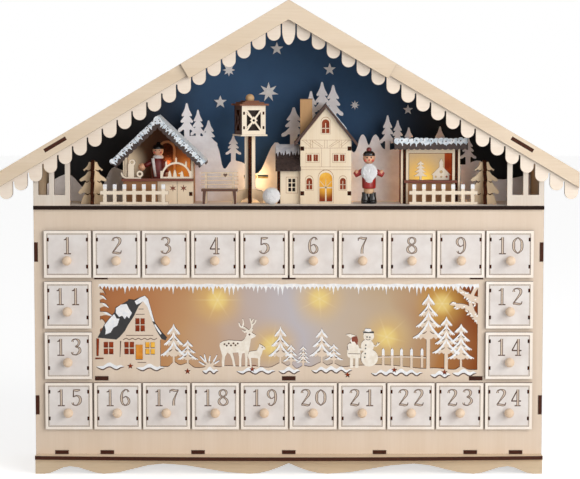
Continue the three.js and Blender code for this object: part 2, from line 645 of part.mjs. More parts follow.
function switchSlider() {
  const left = switchBay.left + switchBay.play;
  const half = switchBay.plateHeight / 2;
  const plateBack = backInner - switchBay.play;
  const plate = box(left, left + switchBay.plateWidth, plateBack - switchBay.plateThickness, plateBack,
    boxFloorZ - half, boxFloorZ + half);
  const nibLeft = switchBay.nibLeft;
  const nib = box(nibLeft, nibLeft + SWITCH_NIB, plateBack - 1, CASE_DEPTH - SEAT,
    boxFloorZ - SWITCH_NIB / 2, boxFloorZ + SWITCH_NIB / 2);
  return joined(plate, nib);
}

addPiece("battery_box", batteryBox(), blackPlastic);
addPiece("battery_cover", batteryCover(), blackPlastic);
addPiece("switch_slider", switchSlider(), blackPlastic);
const batteryY = bay.front + BATTERY_RADIUS + BATTERY_PLAY / 2;
const batteryX = bay.left + BATTERY_PLAY + BATTERY_LENGTH / 2;
[-1, 1].forEach((side, index) => {
  const z = boxFloorZ + side * (BATTERY_RADIUS + BATTERY_PLAY / 2);
  addPiece("battery_" + (index + 1), battery(), batteryShell).position.set(batteryX, batteryY, z);
});

// The light string: lamps behind the screen, then up behind the racks and along behind the hills
const lampY = 30;
const stageLamps = [
  { x: 112, z: stageTop + 25 },
  { x: 31, z: stageTop + 17 },
  { x: -27, z: stageTop + 20 },
  { x: -99, z: stageTop + 32 },
];

function lightString() {
  const pictureLamps = [[-57.4, 138], [-13.5, 101], [24.7, 139], [78.9, 108], [123.5, 135]];
  const climbY = backInner - WIRE_ROOM / 2;
  const behindHills = (hillsBack + backInner) / 2;
  const boxEnd = bay.left - BOX_WALL - SEAT;
  const route = [[boxEnd, backInner - 8, boxFloorZ], [boxEnd - 10, backInner - 9, boxFloorZ + 4]];
  route.push([-66, 52, 128]);
  pictureLamps.forEach(([x, z], index) => {
    route.push([x, lampY, z]);
    const next = pictureLamps[index + 1];
    if (next) route.push([(x + next[0]) / 2, lampY + 2, (z + next[1]) / 2]);
  });
  route.push([wireHole.x + WIRE_BEND, 50, 133], [wireHole.x + 1, climbY - 4, 141], [wireHole.x, climbY, 153]);
  route.push([wireHole.x, climbY, 180], [wireHole.x, climbY, panelTop]);
  route.push([wireHole.x, climbY, stageTop + 9]);
  stageLamps.forEach(({ x, z }) => {
    route.push([x + 13, behindHills, z - 2], [x, HILLS_FRONT - 3, z], [x - 13, behindHills, z - 2]);
  });
  const curve = new THREE.CatmullRomCurve3(route.map(([x, y, z]) => new THREE.Vector3(x, y, z)));
  const section = disc(0, 0, WIRE_RADIUS);
  const steps = 56;
  const options = { steps, bevelEnabled: false, extrudePath: curve, curveSegments: 3 };
  const wire = toSolid(new THREE.ExtrudeGeometry(section, options));
  const wanted = pictureLamps.map(([x, z]) => new THREE.Vector3(x, lampY, z));
  stageLamps.forEach(({ x, z }) => wanted.push(new THREE.Vector3(x, HILLS_FRONT - 3, z)));
  // Each lamp sits on the wire, at the ring of the tube that is nearest to its place.
  const rings = curve.getSpacedPoints(steps);
  const nearestRing = (place) => {
    const gaps = rings.map((ring) => ring.distanceTo(place));
    return rings[gaps.indexOf(Math.min(...gaps))];
  };
  const bulbs = wanted.map((place) => lamp().translate(nearestRing(place).toArray()));
  return joined(wire, ...bulbs);
}

function lamp() {
  const profile = [[0, -1], [LAMP_RADIUS * 0.8, -1], [LAMP_RADIUS, LAMP_LENGTH * 0.6], [0, LAMP_LENGTH]];
  return turned(profile, 6).rotate([90, 0, 0]);
}

addPiece("light_string", lightString(), warmWire);

// Roof: two boards on the walls, with tabs through the scalloped trim and the fascia on it
// A point on a slope: so far from the tip along it, so far below the gable edge; side is -1 or 1.
function slopePoint(side, along, drop) {
  return [side * (along * slopeCos - drop * slopeSin), tipZ - along * slopeSin - drop * slopeCos];
}

function slopeBar(side, from, to, top, bottom) {
  const corners = [[from, top], [to, top], [to, bottom], [from, bottom]];
  return outlineOf(corners.map(([along, drop]) => slopePoint(side, along, drop)));
}

const roofHalf = caseHalf + EAVE_OVERHANG;
const trimFront = -PLY;
const fasciaFront = -2 * PLY;
const chevronFront = -3 * PLY;
const roofTop = (x) => gableEdge(x) - ROOF_DROP / slopeCos;

function roofBoard(side) {
  const end = side * (roofHalf - 2);
  const corners = [[0, roofTop(0)], [end, roofTop(end)], [end, roofUnder(end)], [0, roofUnder(0)]];
  const board = facing(outlineOf(corners), 0, CASE_DEPTH);
  const [from, to] = [ROOF_TAB_AT - ROOF_TAB / 2, ROOF_TAB_AT + ROOF_TAB / 2];
  const tab = slopeBar(side, from, to, ROOF_DROP, ROOF_DROP + PLY);
  return joined(board, facing(tab, fasciaFront, 1));
}

function roofSlots(front, back) {
  const [from, to] = [ROOF_TAB_AT - ROOF_TAB / 2 - FIT, ROOF_TAB_AT + ROOF_TAB / 2 + FIT];
  return [-1, 1].map((side) =>
    facing(slopeBar(side, from, to, ROOF_DROP - FIT, ROOF_DROP + PLY + FIT), front, back));
}

const scallopPitch = (roofHalf - CENTRE_POINT_HALF - SCALLOP_GAP / 2) / SCALLOPS;

function scallopedTrim() {
  const right = [[0, tipZ], [0, tipZ - POINT_REACH]];
  const centre = CENTRE_POINT_HALF;
  const root = (x) => gableEdge(x) - FASCIA_DEPTH / slopeCos - 0.6;
  const rise = POINT_REACH - (tipZ - root(centre)) - scallopPitch / 2;
  for (let i = 1; i <= ARC_STEPS; i++) {
    const turn = (i / ARC_STEPS) * (Math.PI / 2);
    const z = tipZ - POINT_REACH + rise * (1 - Math.cos(turn));
    right.push([centre * Math.sin(turn), z]);
  }
  const radius = (scallopPitch - SCALLOP_GAP) / 2;
  for (let i = SCALLOPS - 1; i >= 0; i--) {
    const x = roofHalf - (i + 0.5) * scallopPitch;
    const low = gableEdge(x) - SCALLOP_REACH + radius;
    right.push([x - radius - SCALLOP_GAP, root(x - scallopPitch / 2)]);
    right.push([x - radius, root(x - scallopPitch / 2)]);
    for (let j = 0; j <= ARC_STEPS; j++) {
      const turn = Math.PI + (j / ARC_STEPS) * Math.PI;
      right.push([x + radius * Math.cos(turn), low + radius * Math.sin(turn)]);
    }
  }
  const edge = roofHalf;
  right.push([edge - SCALLOP_GAP / 2, root(edge)], [edge, root(edge)], [edge, gableEdge(edge)]);
  const left = right.map(([x, z]) => [-x, z]);
  const whole = joined(facing(outlineOf(right), trimFront, 0), facing(outlineOf(left), trimFront, 0));
  return cut(whole, ...roofSlots(trimFront - 1, 1));
}

function roofFascia() {
  const strip = (side, depth, reach) => outlineOf([
    [0, tipZ], [side * reach, gableEdge(reach)],
    [side * reach, gableEdge(reach) - depth / slopeCos], [0, tipZ - depth / slopeCos],
  ]);
  const slots = roofSlots(fasciaFront - 1, 0);
  const strips = [-1, 1].map((side) =>
    cut(facing(strip(side, FASCIA_DEPTH, roofHalf), fasciaFront, trimFront), ...slots));
  const chevron = [-1, 1].map((side) => {
    const inner = slopePoint(side, CHEVRON_LENGTH + CHEVRON_DEPTH * slopeTan, CHEVRON_DEPTH);
    const outer = slopePoint(side, CHEVRON_LENGTH + CHEVRON_DEPTH * slopeTan, 0);
    return outlineOf([[0, tipZ], outer, inner, [0, tipZ - CHEVRON_DEPTH / slopeCos]]);
  });
  return joined(...strips, ...chevron.map((outline) => facing(outline, chevronFront, fasciaFront + 0.5)));
}

addPiece("roof_left", roofBoard(-1), birch);
addPiece("roof_right", roofBoard(1), birch);
addPiece("scalloped_trim", scallopedTrim(), birch);
addPiece("roof_fascia", roofFascia(), birch);

// Gable windows: a small sheet with two panes in each front corner, under the roof board
function gableWindow(side) {
  const [outer, inner] = [side * caseHalf, side * (caseHalf - WINDOW_SHEET)];
  const under = (x) => roofUnder(x) - SEAT;
  const corners = [[outer, stageTop], [inner, stageTop], [inner, under(inner)], [outer, under(outer)]];
  const sheet = outlineOf(corners);
  const bars = (WINDOW_SHEET - 2 * PANE_WIDTH) / 3;
  const panes = [0, 1].map((index) => {
    const from = caseHalf - WINDOW_SHEET + bars + index * (PANE_WIDTH + bars);
    const to = from + PANE_WIDTH;
    const sill = stageTop + WINDOW_RAIL;
    const shape = [[from, sill], [to, sill], [to, under(to) - bars], [from, under(from) - bars]];
    return facing(outlineOf(shape.map(([x, z]) => [side * x, z])), -1, PLY + 1);
  });
  return cut(facing(sheet, 0, PLY), ...panes);
}

addPiece("left_gable_window", gableWindow(-1), birch);
addPiece("right_gable_window", gableWindow(1), birch);

// Snow hills: a painted sheet with rows of firs, and a hole at each lamp
function snowHills() {
  const half = caseHalf - PLY - SEAT;
  const stretch = half / SKYLINE_HALF;
  const skyline = [[-SKYLINE_HALF, 14], [-182, 22], [-168, 9], [-157, 7], [-146, 27], [-134, 25], [-112, 34]];
  skyline.push([-90, 52], [-62, 50], [-54, 27], [-47, 33], [-37, 31], [-25, 23], [-11.6, 48], [2, 40]);
  skyline.push([24, 60], [46, 48], [54, 40], [61, 55], [66, 46], [71.5, 55], [80, 42], [104, 46]);
  skyline.push([126, 43], [142, 30], [158, 33], [172, 18], [SKYLINE_HALF, 22]);
  const curve = new THREE.SplineCurve(skyline.map(([x, h]) => new THREE.Vector2(x * stretch, stageTop + h)));
  const top = curve.getPoints(2 * (skyline.length - 1)).map(({ x, y }) => [x, y]);
  const ridge = facing(outlineOf([[-half, stageTop], ...top, [half, stageTop]]), HILLS_FRONT, hillsBack);
  const firs = [[-83.8, 80.4, 13], [-74.6, 75, 12], [-65.9, 66.3, 11], [-45.6, 53.9, 14], [4.1, 77.1, 18]];
  firs.push([18.2, 90.3, 16], [27.3, 97.8, 16], [34.4, 95.3, 15], [81.2, 70.5, 13], [89.5, 66.3, 12]);
  firs.push([98.6, 60.5, 12], [124.3, 61.3, 13], [147.5, 50.6, 15]);
  const trees = firs.map(([x, h, width]) => {
    const height = 2.2 * width;
    const outline = firOutline(x * stretch, stageTop + h - height, width, height, 2, 0.12, 0.5);
    return facing(outline, HILLS_FRONT, hillsBack);
  });
  const holes = stageLamps.map(({ x, z }) =>
    box(x - 10, x + 10, HILLS_FRONT - 1, hillsBack + 1, z - 3.5, z + 3.5));
  return cut(joined(ridge, ...trees), ...holes);
}

addPiece("snow_hills", snowHills(), snowWhite);

// The two crossed-plank firs at the ends of the stage
function crossedFir(x) {
  const outline = (middle) => firOutline(middle, stageTop, FIR_WIDTH, FIR_HEIGHT, 4, 0.06, 0.3);
  const across = facing(outline(x), FIR_MIDDLE - PLY / 2, FIR_MIDDLE + PLY / 2);
  const foreAndAft = sideways(outline(FIR_MIDDLE), x - PLY / 2, x + PLY / 2);
  return joined(across, foreAndAft);
}

addPiece("left_tree", crossedFir(-TREE_AT), birch);
addPiece("right_tree", crossedFir(TREE_AT), birch);

// Picket fences
const fenceSize = { pickets: 7, pitch: 7.8, width: 3, height: 16.3, rail: 2.2, upperRail: 8, end: 4 };

function fence(firstPicket) {
  const { pickets, pitch, width, height, rail, upperRail, end } = fenceSize;
  const back = FENCE_FRONT + FENCE_PLY;
  const right = firstPicket + (pickets - 1) * pitch + end;
  const rails = [0, upperRail].map((h) =>
    box(firstPicket - end, right, FENCE_FRONT, back, stageTop + h, stageTop + h + rail));
  const posts = [];
  for (let i = 0; i < pickets; i++) {
    const x = firstPicket + i * pitch;
    posts.push(box(x - width / 2, x + width / 2, FENCE_FRONT, back, stageTop, stageTop + height));
  }
  return joined(...rails, ...posts);
}

addPiece("left_fence", fence(-147.2), birch);
addPiece("right_fence", fence(100.5), birch);

// Left stall: an open gabled hut with a counter, a candle arch and a sledge on it
const leftHut = {
  x: -105, half: 28.3, front: 22, back: 52, counter: 23, ridge: 71, eaveHalf: 38.5, eave: 34.5, roof: 2.8,
};

function leftStall() {
  const { x, half, front, back, counter, ridge, eaveHalf, eave, roof: roofThickness } = leftHut;
  const slope = (ridge - eave) / eaveHalf;
  const roofAt = (dx) => ridge - roofThickness - Math.abs(dx) * slope;
  const place = (points) => outlineOf(points.map(([dx, h]) => [x + dx, stageTop + h]));
  const wallTop = roofAt(half) + 1;
  const walls = [-half, half - THIN].map((dx) =>
    box(x + dx, x + dx + THIN, front, back, stageTop, stageTop + wallTop));
  const gable = [[-half, 0], [half, 0], [half, wallTop], [0, roofAt(0) + 1], [-half, wallTop]];
  const window = facing(archOutline(x - 9, stageTop + counter, 22, 20), back - THIN - 1, back + 1);
  const backWall = cut(facing(place(gable), back - THIN, back), window);
  const stars = [half - 18, half - 7.5].map((dx) =>
    facing(starOutline(x + dx, stageTop + counter * 0.6, 3, 6, 0.4), front - 1, front + THIN + 1));
  const apron = cut(box(x - half, x + half, front, front + THIN, stageTop, stageTop + counter), ...stars);
  const level = stageTop + counter;
  const shelfBoard = box(x - half - 2, x + half, front - 4, front + 6, level - 1, level + 1);
  const band = (depth) => [[-eaveHalf, eave], [0, ridge], [eaveHalf, eave], [eaveHalf, eave - depth],
    [0, ridge - depth], [-eaveHalf, eave - depth]];
  const roof = facing(place(band(roofThickness)), front - 5, back + 3);
  const edge = facing(place(band(7)), front - 6.5, front - 5 + 0.5);
  return joined(...walls, backWall, apron, shelfBoard, roof, edge, ...counterGoods(level + 0.5));
}

function counterGoods(level) {
  const [front, back] = [leftHut.front - 2, leftHut.front];
  const sheet = (outline) => facing(outline, front, back);
  const ring = new THREE.Shape();
  const archX = leftHut.x + 14.5;
  ring.absarc(archX, level, 12, 0, Math.PI, false);
  ring.absarc(archX, level, 10.2, Math.PI, 0, true);
  const candles = [0.2, 0.5, 0.8].map((share) => {
    const turn = share * Math.PI;
    const [dx, dz] = [11 * Math.cos(turn), 11 * Math.sin(turn)];
    return sheet(barOutline([archX + dx, level + dz], [archX + dx, level + dz + 5], 1.6, 1));
  });
  const base = box(archX - 12.5, archX + 12.5, front, back, level, level + 2);
  const sledgeX = leftHut.x - 24;
  const runner = sheet(barOutline([sledgeX - 5, level + 3.4], [sledgeX + 12, level + 0.6], 1.8));
  const candle = sheet(barOutline([sledgeX + 3.5, level], [sledgeX + 3.5, level + 15], 5, 3));
  return [sheet(ring), base, ...candles, runner, candle];
}

addPiece("left_stall", leftStall(), birch);

// The stall keeper: a turned figure with one arm stretched out
function stallKeeper() {
  const profile = [[0, 0], [6, 0], [5.4, 18], [6.2, 30], [4.6, 37], [2.4, 38.5]];
  profile.push([4.2, 41], [4.4, 43.5], [3.6, 47], [1.6, 49], [0, 49.3]);
  const body = turned(profile, 10);
  const arm = turned([[0, 0], [2, 0], [1.9, 9], [2.2, 12.5], [0, 14]], 6);
  const left = arm.rotate([0, -115, 0]).translate([-3.5, 0, 34]);
  const right = arm.rotate([0, 150, 0]).translate([3.5, 0, 34]);
  return joined(body, left, right).translate([leftHut.x - 1, 37, stageTop]);
}

addPiece("stall_keeper", stallKeeper(), maroonCoat);

// Bench with a slatted back
function bench() {
  const size = { x: -55.8, half: 14.5, front: 17, back: 29, seat: 14, top: 25.5, leg: 2.4 };
  const left = size.x - size.half;
  const right = size.x + size.half;
  const seatZ = stageTop + size.seat;
  const seat = box(left, right, size.front, size.back, seatZ - 1.2, seatZ + 1);
  const posts = [];
  const legFront = size.front + 1;
  for (const x of [left + 1, right - 1 - size.leg]) {
    posts.push(box(x, x + size.leg, legFront, legFront + size.leg, stageTop, seatZ));
    posts.push(box(x, x + size.leg, size.back - size.leg, size.back, stageTop, stageTop + size.top));
  }
  const slats = [0, 1, 2, 3].map((i) => {
    const low = stageTop + size.top - 2 - i * 3;
    return box(left, right, size.back - size.leg, size.back - 0.6, low, low + 2);
  });
  return joined(seat, ...posts, ...slats);
}

addPiece("bench", bench(), birch);

// Street lantern: a box with crossed bars on a post of two crossed planks, turned a little
const lanternSize = { x: -31.8, y: 35, half: 10.6, low: 55, high: 79, turn: THREE.MathUtils.degToRad(16) };

function lantern() {
  const { half, low, high } = lanternSize;
  const foot = half * 1.01;
  const side = [[foot, 0], [foot, 2], [7, 4.5], [3.8, 11], [3.8, low + 1]];
  const plank = outlineOf([...side, ...side.map(([x, h]) => [-x, h]).reverse()]);
  const posts = [facing(plank, -PLY / 2, PLY / 2), sideways(plank, -PLY / 2, PLY / 2)];
  const frame = 3;
  const wall = 2;
  const inner = half - wall;
  const middle = (low + high) / 2;
  const hollow = box(-inner, inner, -inner, inner, low + wall, high + 1);
  const room = cut(box(-half, half, -half, half, low, high), hollow);
  const reach = half - frame;
  const rise = (high - low) / 2 - frame;
  const gap = 1.2;
  const wedges = [];
  for (const [dx, dz] of [[1, 0], [-1, 0], [0, 1], [0, -1]]) {
    const tip = [dx * 2.6, middle + dz * 2.6];
    const corners = dx
      ? [[dx * reach, middle + rise - gap * 1.6], [dx * reach, middle - rise + gap * 1.6]]
      : [[reach - gap * 1.6, middle + dz * rise], [gap * 1.6 - reach, middle + dz * rise]];
    wedges.push(outlineOf([tip, ...corners]));
  }
  const windows = wedges.flatMap((outline) => [
    facing(outline, -half - 1, half + 1),
    sideways(outline, -half - 1, half + 1),
  ]);
  const [eave, crown] = [half * 1.62, half * 0.9];
  const capProfile = [[0, high - 1], [eave, high - 1], [eave, high + 1], [crown, high + 4], [0, high + 4]];
  const cap = turned(capProfile, 4);
  const finial = ball(3.4, 10).translate([0, 0, high + 6.6]);
  return joined(cut(room, ...windows), ...posts, cap.rotate([0, 0, 45]), finial);
}

const lanternPiece = addPiece("lantern", lantern(), birch);
lanternPiece.position.set(lanternSize.x, lanternSize.y, stageTop);
lanternPiece.rotation.z = lanternSize.turn;

// Snowball between the lantern and the houses, flat where it rests
const snowballPlace = { x: -14, y: 17, flat: 0.5 };

function snowball() {
  const { x, y, flat } = snowballPlace;
  const whole = ball(SNOWBALL_RADIUS, 12).translate([x, y, stageTop + SNOWBALL_RADIUS - flat]);
  const reach = SNOWBALL_RADIUS + 1;
  return cut(whole, box(x - reach, x + reach, y - reach, y + reach, stageTop - reach, stageTop));
}

addPiece("snowball", snowball(), whiteFur);

// Town house with a lit door, and the low annex on its left
const house = { x: 29.8, half: 20.5, front: 20, back: 50, wall: 51.6, gable: 76.9 };

function townHouse() {
  const { x, half, front, back, wall, gable } = house;
  const place = (points) => outlineOf(points.map(([dx, h]) => [x + dx, stageTop + h]));
  const outside = [[-half, 0], [half, 0], [half, wall], [0, gable], [-half, wall]];
  const lean = (gable - wall) / half;
  const innerHalf = half - THIN;
  const innerWall = wall - THIN;
  const inside = [[-innerHalf, -1], [innerHalf, -1], [innerHalf, innerWall]];
  inside.push([0, innerWall + innerHalf * lean], [-innerHalf, innerWall]);
  const shell = cut(facing(place(outside), front, back), facing(place(inside), front + THIN, back + 1));
  const opening = (outline) => facing(outline, front - 1, front + THIN + 0.5);
  const rect = (dx, h, wide, high) =>
    opening(place([[dx, h], [dx + wide, h], [dx + wide, h + high], [dx, h + high]]));
  const openings = [opening(archOutline(x - 5.6, stageTop + 2, 11.2, 12.5))];
  openings.push(opening(archOutline(x - 3.2, stageTop + 57, 6, 5)));
  for (const dx of [-15.5, 11.5]) openings.push(opening(archOutline(x + dx, stageTop + 11.5, 4.6, 4)));
  for (const dx of [-15, -9.6, 7, 12.4]) openings.push(rect(dx, 34.5, 3.6, 5.6));
  return joined(cut(shell, ...openings), ...annex(x - half));
}

function annex(right) {
  const left = right - 18.6;
  const [front, back] = [24, 44];
  const stand = (points) => outlineOf(points.map(([y, h]) => [y, stageTop + h]));
  const outer = [[front, 0], [back, 0], [back, 41], [front, 28]];
  const inner = [[front + THIN, -1], [back + 1, -1], [back + 1, 39.5], [front + THIN, 27.5]];
  const hollow = sideways(stand(inner), left + THIN, right - 1);
  const shell = cut(sideways(stand(outer), left, right + 1), hollow);
  const pane = (dx, h) => {
    const [x, z] = [left + dx, stageTop + h];
    return box(x, x + 2.2, front - 1, front + THIN + 1, z, z + 2.8);
  };
  const panes = [0, 1, 2].flatMap((row) => [8, 11].map((dx) => pane(dx, 10 + row * 3.6)));
  const roof = [[front - 6, 25.5], [front - 6, 27.5], [back, 44.5], [back, 42.5]];
  return [cut(shell, ...panes), sideways(stand(roof), left - 1.5, right + 0.5)];
}

function townHouseRoof() {
  const { x, half, front, back, wall, gable } = house;
  const lean = (gable - wall) / half;
  const reach = 25.3;
  const thickness = 3;
  const under = (dx) => gable + SEAT * 2 - Math.abs(dx) * lean;
  const over = (dx) => under(dx) + thickness;
  const place = (points) => outlineOf(points.map(([dx, h]) => [x + dx, stageTop + h]));
  const shape = [[-reach, under(reach)], [0, under(0)], [reach, under(reach)]];
  shape.push([reach, over(reach)], [0, over(0)], [-reach, over(reach)]);
  const boards = facing(place(shape), front - 3.5, back + 3);
  const [stackLeft, stackRight, stackTop] = [-20.6, -10.8, 84];
  const stack = [[stackLeft, over(stackLeft) - 1], [stackRight, over(stackRight) - 1]];
  stack.push([stackRight, stackTop], [stackLeft, stackTop]);
  return joined(boards, facing(place(stack), front + 8, front + 18));
}

addPiece("town_house", townHouse(), birch);
addPiece("town_house_roof", townHouseRoof(), brownStain);

// The bearded figure: a turned body with a round beard, short arms and thick boots
function beardedFigure() {
  const profile = [[0, 8], [5.6, 8], [5.9, 13], [5.4, 24], [4, 30], [2.6, 31.5], [4.2, 33], [4.4, 35.5]];
  profile.push([3.9, 38.5], [1.4, 40.8], [2.6, 42.4], [2.4, 44.6], [0, 45.6]);
  const body = turned(profile, 10);
  const boot = (dx) => turned([[0, 0], [3.3, 0], [2.4, 9], [0, 9]], 8).translate([dx, -0.6, 0]);
  const beard = ball(1, 8).scale([6, 3.4, 7.2]).translate([0, -3.6, 24.8]);
  const arm = turned([[0, 0], [2.2, 0], [1.9, 6.5], [2.3, 9.5], [0, 11]], 6);
  const arms = [-1, 1].map((side) => arm.rotate([0, side * 62, 0]).translate([side * 2.5, 0, 22.5]));
  return joined(body, boot(-3.5), boot(3.5), beard, ...arms).translate([64.6, 24, stageTop]);
}

addPiece("bearded_figure", beardedFigure(), redCoat);

// Right stall: a hut with a lit window over its counter, and goods in the window
const rightHut = { x: 114, half: 23.8, front: 22, back: 48, counter: 18, top: 46, roofBack: 56 };

function rightStall() {
  const { x, half, front, back, counter, top, roofBack } = rightHut;
  const walls = [-half, half - THIN].map((dx) =>
    box(x + dx, x + dx + THIN, front - 2, back, stageTop, stageTop + top));
  const windowHalf = half - 6.6;
  const opening = box(x - windowHalf, x + windowHalf, front - 1, front + THIN + 1,
    stageTop + counter + 1, stageTop + top - 6);
  const sheet = box(x - half + 1, x + half - 1, front, front + THIN, stageTop, stageTop + top);
  const frontWall = cut(sheet, opening);
  const counterBoard = box(x - half + 1, x + half - 1, front - 3, front + 12,
    stageTop + counter - 1, stageTop + counter + 1);
  const [eaveY, ridgeY] = [front - 6, back + 3];
  const roof = [[eaveY, top - 2.5], [eaveY, top + 1], [ridgeY, roofBack], [ridgeY, roofBack - 3.5]];
  const roofReach = half + 5;
  const roofOutline = outlineOf(roof.map(([y, h]) => [y, stageTop + h]));
  const roofBoard = sideways(roofOutline, x - roofReach, x + roofReach);
  const level = stageTop + counter + 0.5;
  const goods = (outline) => facing(outline, front + 5, front + 7);
  const fir = goods(firOutline(x - 7, level, 10, 17, 3));
  const cabin = [[-4.5, 0], [4.5, 0], [4.5, 6], [6, 6], [0, 16], [-6, 6], [-4.5, 6]];
  const cottage = goods(outlineOf(cabin.map(([dx, h]) => [x + 9 + dx, level + h])));
  return joined(...walls, frontWall, counterBoard, roofBoard, fir, cottage);
}

addPiece("right_stall", rightStall(), birch);

export default calendar;
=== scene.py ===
import bmesh
import bpy
import math
import random
from mathutils import Matrix, Vector
from mathutils.geometry import delaunay_2d_cdt


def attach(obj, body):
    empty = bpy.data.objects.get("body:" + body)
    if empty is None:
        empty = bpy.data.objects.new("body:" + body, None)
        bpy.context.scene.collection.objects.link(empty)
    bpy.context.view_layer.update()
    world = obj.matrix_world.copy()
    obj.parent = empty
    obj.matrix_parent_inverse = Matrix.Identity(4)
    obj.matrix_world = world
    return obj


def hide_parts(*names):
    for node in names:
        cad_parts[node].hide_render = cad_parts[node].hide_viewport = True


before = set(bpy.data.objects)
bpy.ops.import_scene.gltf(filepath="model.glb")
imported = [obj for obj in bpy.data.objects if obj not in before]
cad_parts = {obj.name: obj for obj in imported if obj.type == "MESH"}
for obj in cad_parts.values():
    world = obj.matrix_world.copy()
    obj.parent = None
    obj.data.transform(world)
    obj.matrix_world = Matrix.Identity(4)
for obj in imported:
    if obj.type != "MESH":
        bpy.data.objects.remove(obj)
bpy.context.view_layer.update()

# Studio: a long lens a metre and a half in front, a pale floor, a large soft lamp high on
# the right, weaker ones on the left and in front, and a white room all round.
scene = bpy.context.scene
scene.view_settings.view_transform = "Standard"
camera_data = bpy.data.cameras.new("camera")
camera_data.sensor_width = 36
camera_data.lens = 125.2
camera_data.shift_y = 0.0123
camera = bpy.data.objects.new("camera", camera_data)
camera.location = (0.001, -1.635, 0.3223)
camera.rotation_euler = (math.radians(85), 0, 0)
scene.collection.objects.link(camera)
scene.camera = camera


def soft_lamp(name, place, size, watts, colour):
    """A square studio lamp that points at the middle of the calendar."""
    data = bpy.data.lights.new(name, "AREA")
    data.size = size
    data.energy = watts
    data.color = colour
    lamp = bpy.data.objects.new(name, data)
    lamp.location = place
    lamp.rotation_euler = (Vector((0, 0, 0.17)) - Vector(place)).to_track_quat("-Z", "Y").to_euler()
    scene.collection.objects.link(lamp)


soft_lamp("key_lamp", (1.45, -1.2, 0.95), 0.8, 13, (1, 0.98, 0.96))
soft_lamp("fill_lamp", (-1.3, -1.8, 0.6), 1.4, 0.5, (0.95, 0.97, 1))
soft_lamp("front_lamp", (0.75, -1.55, 0.40), 0.9, 11, (1, 0.99, 0.98))


def node(tree, kind, inputs=None, **settings):
    """Adds a shader node; inputs are numbers, colours or other nodes' sockets."""
    made = tree.nodes.new("ShaderNode" + kind)
    for key, value in settings.items():
        setattr(made, key, value)
    for key, value in (inputs or {}).items():
        if isinstance(value, bpy.types.NodeSocket):
            tree.links.new(value, made.inputs[key])
        else:
            made.inputs[key].default_value = value
    return made


def seen_directly(tree):
    """1 where the camera, a reflection or a see-through piece looks straight at the surface."""
    path = node(tree, "LightPath").outputs
    either = node(tree, "Math", {0: path["Is Camera Ray"], 1: path["Is Glossy Ray"]}, operation="MAXIMUM")
    return node(tree, "Math", {0: either.outputs[0], 1: path["Is Transmission Ray"]},
                operation="MAXIMUM").outputs[0]


world = bpy.data.worlds.new("room")
world.use_nodes = True
tree = world.node_tree
strength = node(tree, "MapRange", {"Value": seen_directly(tree), "To Min": 0.34, "To Max": 1.0})
background = tree.nodes["Background"]
background.inputs["Color"].default_value = (1, 1, 1, 1)
tree.links.new(strength.outputs["Result"], background.inputs["Strength"])
scene.world = world


def new_material(name, roughness=0.6, gloss=0.5):
    material = bpy.data.materials.new(name)
    material.use_nodes = True
    shader = material.node_tree.nodes["Principled BSDF"]
    shader.inputs["Roughness"].default_value = roughness
    shader.inputs["Specular IOR Level"].default_value = gloss
    return material, material.node_tree, shader


def colour(hexa):
    """A screen colour such as "dcc4a6" as linear light, with full cover."""
    parts = [int(hexa[i : i + 2], 16) / 255 for i in (0, 2, 4)]
    return tuple(((p + 0.055) / 1.055) ** 2.4 if p > 0.04 else p / 12.92 for p in parts) + (1,)


floor_bm = bmesh.new()
bmesh.ops.create_grid(floor_bm, x_segments=1, y_segments=1, size=6)
floor_mesh = bpy.data.meshes.new("floor")
floor_bm.to_mesh(floor_mesh)
floor_bm.free()
floor = bpy.data.objects.new("floor", floor_mesh)
scene.collection.objects.link(floor)
paper, tree, shader = new_material("paper", 0.9)
shader.inputs["Base Color"].default_value = (0.86, 0.86, 0.86, 1)
shader.inputs["Emission Color"].default_value = (1, 1, 1, 1)
paper_glow = node(tree, "Math", {0: seen_directly(tree), 1: 0.6}, operation="MULTIPLY")
tree.links.new(paper_glow.outputs[0], shader.inputs["Emission Strength"])
floor_mesh.materials.append(paper)


# Plywood: birch boards of 3 mm with a fine straight grain, faint blotches and a scorched
# line along every laser cut; the cut edges themselves are burnt and show the layers.
def grained(tree, light, dark, along, strength=1.0, fine=900):
    """A wood colour with grain along X, Y or Z and soft blotches."""
    spread = {"X": (0.035, 1, 1), "Y": (1, 0.035, 1), "Z": (1, 1, 0.035)}[along]
    place = node(tree, "TexCoord").outputs["Object"]
    stretched = node(tree, "Mapping", {"Vector": place, "Scale": spread}).outputs[0]
    lines = node(tree, "TexNoise", {"Vector": stretched, "Scale": fine, "Detail": 5, "Roughness": 0.6})
    blots = node(tree, "TexNoise", {"Vector": stretched, "Scale": fine / 12, "Detail": 3})
    both = node(tree, "Mix", {"Factor": 0.55, "A": lines.outputs["Fac"], "B": blots.outputs["Fac"]})
    ramp = node(tree, "MapRange", {"Value": both.outputs[0], "From Min": 0.36, "From Max": 0.66})
    ramp.inputs["To Max"].default_value = strength
    tone = node(tree, "Mix", {"Factor": ramp.outputs[0], "A": light, "B": dark}, data_type="RGBA")
    return tone.outputs[2], lines.outputs["Fac"]


def edge_mark(tree, reach):
    """About 1 within reach of a sharp edge, 0 on open surface."""
    round_normal = node(tree, "Bevel", {"Radius": reach}, samples=4).outputs[0]
    flat_normal = node(tree, "NewGeometry").outputs["True Normal"]
    match = node(tree, "VectorMath", {0: round_normal, 1: flat_normal}, operation="DOT_PRODUCT")
    return node(tree, "MapRange", {"Value": match.outputs["Value"], "From Min": 0.995,
                                   "From Max": 0.8}).outputs[0]


